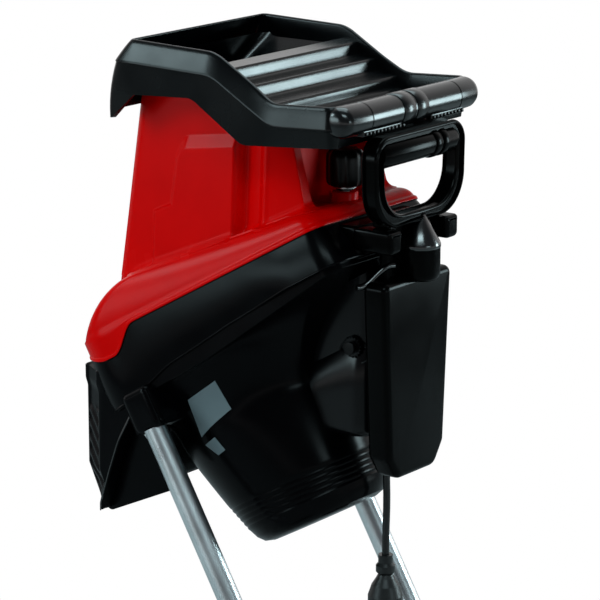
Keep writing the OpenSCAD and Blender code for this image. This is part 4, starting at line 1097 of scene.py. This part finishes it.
# %% Prongs and bridge
prong = rounded([(40.6, 721), (62.5, 721), (62.5, 745.3), (40.6, 745.3)], [6, 6, 3, 3], 6, 4)
prong_sheet = slab(prong, 108, 157, 5, "Y", steps=6)
bridge = rounded([(102, 711.5), (114, 711.5), (114, 746.2), (82, 746.2)], 3, 5, 5)
right_prong = (on_side(prong_sheet[0], -1), *prong_sheet[1:])
piece("fork_caps", [prong_sheet, right_prong, slab(bridge, -61, 61, 4, "X", steps=6)], "base", stick_pp)

# %% [markdown]
# ## Locking knob
# Six finger hollows run down a stubby black knob with a rolled top edge. Six cylinders could be cut
# out of it; a turned profile whose radius dips six times in a turn needs no Boolean.

# %% Knob
KNOB_AXIS = (0, 54, 0)
HOLLOW = 0.085
knob_profile = [(5.6, 769), (9.5, 769), (9.5, 772.6), (15, 773), (18.5, 775), (19.8, 778), (20.4, 782),
                (20.4, 804), (19.8, 808), (17.6, 811), (15, 812.6), (11, 813), (2, 813)]


def finger_hollows(angle):
    """Six hollows round the knob: a negative cosine of 6 times the angle, eased to flat ridges."""
    return 1 - HOLLOW * ease(0.2, 1, -np.cos(6 * angle))


piece("locking_knob", [revolve(knob_profile, KNOB_AXIS, "Z", 96, finger_hollows)], "knob", knob_ph,
      ["knob"], sharp=35)

# %% [markdown]
# ## Knob boss
# A short red tube on the ledge carries the knob's spindle, with two small pads beside it. A cylinder
# with a hole would need a Boolean. Here nine profile points turn round the axis and close into a ring.

# %% Boss
boss_ring = [(17, 742), (14.6, 750), (14, 754), (14, 765.6), (13.3, 767.2), (12, 767.8), (7, 767.8),
             (5.6, 766), (5.6, 742)]
boss_points = revolve(boss_ring, KNOB_AXIS, "Z")[0].reshape(len(boss_ring), -1, 3)
pads = []
for x, y in ((34, 36), (-34, 36)):
    z = ledge_height(y)
    pad = rounded([(x - 8, y - 6), (x + 8, y - 6), (x + 8, y + 6), (x - 8, y + 6)], 2, 4, 3)
    pads.append(slab(pad, z - 6, z + 3.5, 1.2, "Z"))
piece("knob_boss", [grid(boss_points, ring=True)] + pads, "lid", red_abs, sharp=35)

# %% [markdown]
# ## Push stick
# A flat paddle, a short neck and a D-shaped loop handle with rounded edges push branches down the
# chute. A curve with a bevel could draw the loop, but its section changes along the way and has a
# groove at the rear, so rows of points run between an outer and an inner contour.

# %% Paddle and neck
paddle_outline = rounded([(62, 690), (-62, 690), (-51, 499), (-34, 474.5), (34, 474.5), (51, 499)],
                         [9, 9, 14, 14, 14, 14], 8, 10)
neck_outline = rounded([(39, 752), (-39, 752), (-39, 676), (39, 676)], 3, 6, 8)
paddle = [slab(paddle_outline, 120, 150, 7, "Y", steps=7), slab(neck_outline, 124, 136, 5, "Y")]
piece("stick_paddle", paddle, "push_stick", stick_pp, ["plunger_paddle"])

# %% Loop handle
LOOP_FRONT = 132
LOOP_REAR = 152
GROOVE = 149
EDGE_R = 3.0
GRIP_AXIS = (0, 142, 825)


def loop_rows():
    """Section points between the outer and the inner contour: rounded edges, a groove at the rear."""
    outer = rounded([(82.5, 845.5), (-82.5, 845.5), (-79.5, 747.5), (79.5, 747.5)], [24, 24, 42, 42], 16, 20)
    inner = rounded([(66, 830.5), (-66, 830.5), (-64, 759.5), (64, 759.5)], [12, 12, 38, 38], 16, 20)
    unit = (inner - outer) / np.linalg.norm(outer - inner, axis=1)[:, None]
    quarter = np.linspace(0, math.pi / 2, 5)
    arc = [(EDGE_R * (1 - math.sin(a)), EDGE_R * (1 - math.cos(a))) for a in quarter]
    section = [("outer", a, LOOP_FRONT + b) for a, b in arc]
    section += [("inner", a, LOOP_FRONT + b) for a, b in arc[::-1]]
    section += [("inner", a, LOOP_REAR - b) for a, b in arc]
    section += [("inner", 4.2, LOOP_REAR), ("inner", 5.0, GROOVE)]
    section += [("outer", 5.0, GROOVE), ("outer", 4.2, LOOP_REAR)]
    section += [("outer", a, LOOP_REAR - b) for a, b in arc[::-1]]
    rows = []
    for edge, inset, y in section:
        at = outer + unit * inset if edge == "outer" else inner - unit * inset
        rows.append(np.column_stack([at[:, 0], np.full(len(at), y), at[:, 1]]))
    return np.array(rows)


grip = [(2, -68), (11, -67), (14, -60), (14, 60), (11, 67), (2, 68)]
bands = []
for at in (-40, -26):
    band = [(12, at - 5), (15, at - 4.4), (15.6, at - 3), (15.6, at + 3), (15, at + 4.4), (12, at + 5)]
    bands.append(revolve(band, GRIP_AXIS, "X"))
shelf = slab(rounded([(50, 754), (-50, 754), (-50, 745.6), (50, 745.6)], 3, 5, 10), 124, 142, 2.5, "Y")
loop = [grid(loop_rows(), ring=True), revolve(grip, GRIP_AXIS, "X")] + bands + [shelf]
piece("stick_loop", loop, "push_stick", stick_pp, ["plunger_handle"])

# %% [markdown]
# ## Neck of the push stick
# A polished cone stands in a dull socket tube where loop and paddle meet, and two round ribs run
# down to the shoulders. Primitive cones would show flat ends, so profiles are turned and a round
# section is swept along each shoulder.

# %% Cone, tube and ribs
CONE_AXIS = (-7, 146, 0)
t = np.linspace(0, 1, 24)
shoulder = np.column_stack([66 - 36 * t, 117 + 22 * t, 684 + 20 * ease(0.1, 0.9, t)])
ribs = [swept(on_side(shoulder, side), 3.4) for side in LEFT_RIGHT]
cone = [(1, 757), (3.4, 756), (21, 724), (21.6, 722), (21.6, 719), (20.8, 717.6), (2, 717.6)]
socket_tube = [(2, 718), (21.2, 718), (21.2, 692), (20.2, 687), (17, 684), (2, 683)]
piece("stick_cone", [revolve(cone, CONE_AXIS, "Z")] + ribs, "push_stick", gloss_pp)
piece("stick_neck", [revolve(socket_tube, CONE_AXIS, "Z")], "push_stick", stick_pp)

# %% [markdown]
# ## Stage
# The machine stands in a white studio. A huge white floor would also light the black plastic from
# below and grey it, so the floor is pale paint near the machine, white to the camera further out and
# white to shiny surfaces only far away. Six soft lights stand round the machine, as softboxes would.


# %% Floor
def studio_floor():
    """Pale floor: plain diffuse near the machine, white to the camera further out."""
    mat = bpy.data.materials.new("studio floor, painted")
    mat.use_nodes = True
    tree = mat.node_tree
    tree.nodes.clear()
    place = add(tree, "ShaderNodeTexCoord")
    path = add(tree, "ShaderNodeLightPath")
    paint = add(tree, "ShaderNodeBsdfDiffuse", Color=srgb("B4B4B4"))
    white = add(tree, "ShaderNodeEmission", Color=(1, 1, 1, 1), Strength=1.0)
    far = add(tree, "ShaderNodeVectorMath", [(0, place, "Object")], operation="LENGTH")
    direct = add(tree, "ShaderNodeMath", [(0, path, "Is Camera Ray"), (1, path, "Is Transmission Ray")],
                 operation="MAXIMUM")
    near = add(tree, "ShaderNodeMapRange", [("Value", far, "Value")], From_Min=0.35, From_Max=0.8)
    seen = add(tree, "ShaderNodeMath", [(0, near, 0), (1, direct, 0)], operation="MULTIPLY")
    horizon = add(tree, "ShaderNodeMapRange", [("Value", far, "Value")], From_Min=4.0, From_Max=7.0)
    mirrored = add(tree, "ShaderNodeMath", [(0, horizon, 0), (1, path, "Is Glossy Ray")],
                   operation="MULTIPLY")
    share = add(tree, "ShaderNodeMath", [(0, seen, 0), (1, mirrored, 0)], operation="MAXIMUM")
    mix = add(tree, "ShaderNodeMixShader", [("Fac", share, 0), (1, paint, 0), (2, white, 0)])
    add(tree, "ShaderNodeOutputMaterial", [("Surface", mix, 0)])
    return mat


FLOOR_HALF = 30
corners = [(-FLOOR_HALF, -FLOOR_HALF, 0), (FLOOR_HALF, -FLOOR_HALF, 0), (FLOOR_HALF, FLOOR_HALF, 0),
           (-FLOOR_HALF, FLOOR_HALF, 0)]
floor_mesh = bpy.data.meshes.new("floor")
floor_mesh.from_pydata(corners, [], [(0, 1, 2, 3)])
floor_mesh.materials.append(studio_floor())
floor = shown(bpy.data.objects.new("floor", floor_mesh))
print("floor", 2 * FLOOR_HALF, "m wide")

# %% World
AWAY = (-0.78, -0.58, 0.2)


def studio_world():
    """White to the camera, white to shiny surfaces on the side away from it, and dim elsewhere."""
    world = bpy.data.worlds.new("studio")
    world.use_nodes = True
    tree = world.node_tree
    tree.nodes.clear()
    place = add(tree, "ShaderNodeTexCoord")
    path = add(tree, "ShaderNodeLightPath")
    white = add(tree, "ShaderNodeBackground", Color=(1, 1, 1, 1), Strength=1.0)
    dim = add(tree, "ShaderNodeBackground", Color=srgb("DDE3EA"), Strength=0.16)
    seen = add(tree, "ShaderNodeMath", [(0, path, "Is Camera Ray"), (1, path, "Is Transmission Ray")],
               operation="MAXIMUM")
    behind = add(tree, "ShaderNodeVectorMath", [(0, place, "Generated")], operation="DOT_PRODUCT")
    behind.inputs[1].default_value = AWAY
    half = add(tree, "ShaderNodeMapRange", [("Value", behind, "Value")], From_Min=0.1, From_Max=0.7)
    mirrored = add(tree, "ShaderNodeMath", [(0, half, 0), (1, path, "Is Glossy Ray")], operation="MULTIPLY")
    share = add(tree, "ShaderNodeMath", [(0, mirrored, 0), (1, seen, 0)], operation="MAXIMUM")
    mix = add(tree, "ShaderNodeMixShader", [("Fac", share, 0), (1, dim, 0), (2, white, 0)])
    add(tree, "ShaderNodeOutputWorld", [("Surface", mix, 0)])
    return world


bpy.context.scene.world = studio_world()
print("world", bpy.context.scene.world.name)

# %% Lamps
LAMP_COLOUR = (0.72, 0.95, 1.0)


def softbox(name, place, target, width, height, watts):
    """Rectangular soft light at a place, turned to face a target."""
    data = bpy.data.lights.new(name, "AREA")
    data.shape = "RECTANGLE"
    data.size = width
    data.size_y = height
    data.energy = watts
    data.color = LAMP_COLOUR
    z = np.array(place, float) - np.array(target, float)
    z = z / np.linalg.norm(z)
    x = np.cross([0, 0, 1.0] if abs(z[2]) < 0.99 else [0, 1.0, 0], z)
    x = x / np.linalg.norm(x)
    lamp = shown(bpy.data.objects.new(name, data))
    lamp.matrix_world = placed(x, np.cross(z, x), z, place)


softbox("soft light, left", (1.75, -1.68, 1.8), (0, 0, 0.8), 0.65, 0.6, 21)
softbox("soft light, low left", (2.2, -1.15, 1.0), (0.1, 0.05, 0.68), 1.5, 0.45, 16)
softbox("soft light, right", (-1.8, 1.55, 0.85), (0, 0.1, 0.8), 0.6, 0.8, 28)
softbox("soft light, camera", (1.72, 1.42, 2.78), (0, 0, 0.75), 1.6, 0.5, 28)
softbox("soft light, floor", (0.4, 2.9, 1.1), (0.3, 2.5, 0), 0.9, 0.6, 16)
softbox("soft light, above", (-0.3, -0.2, 2.6), (0, 0, 0.8), 1.6, 1.6, 32)
bpy.context.scene.view_settings.view_transform = "Standard"
print("stage set")
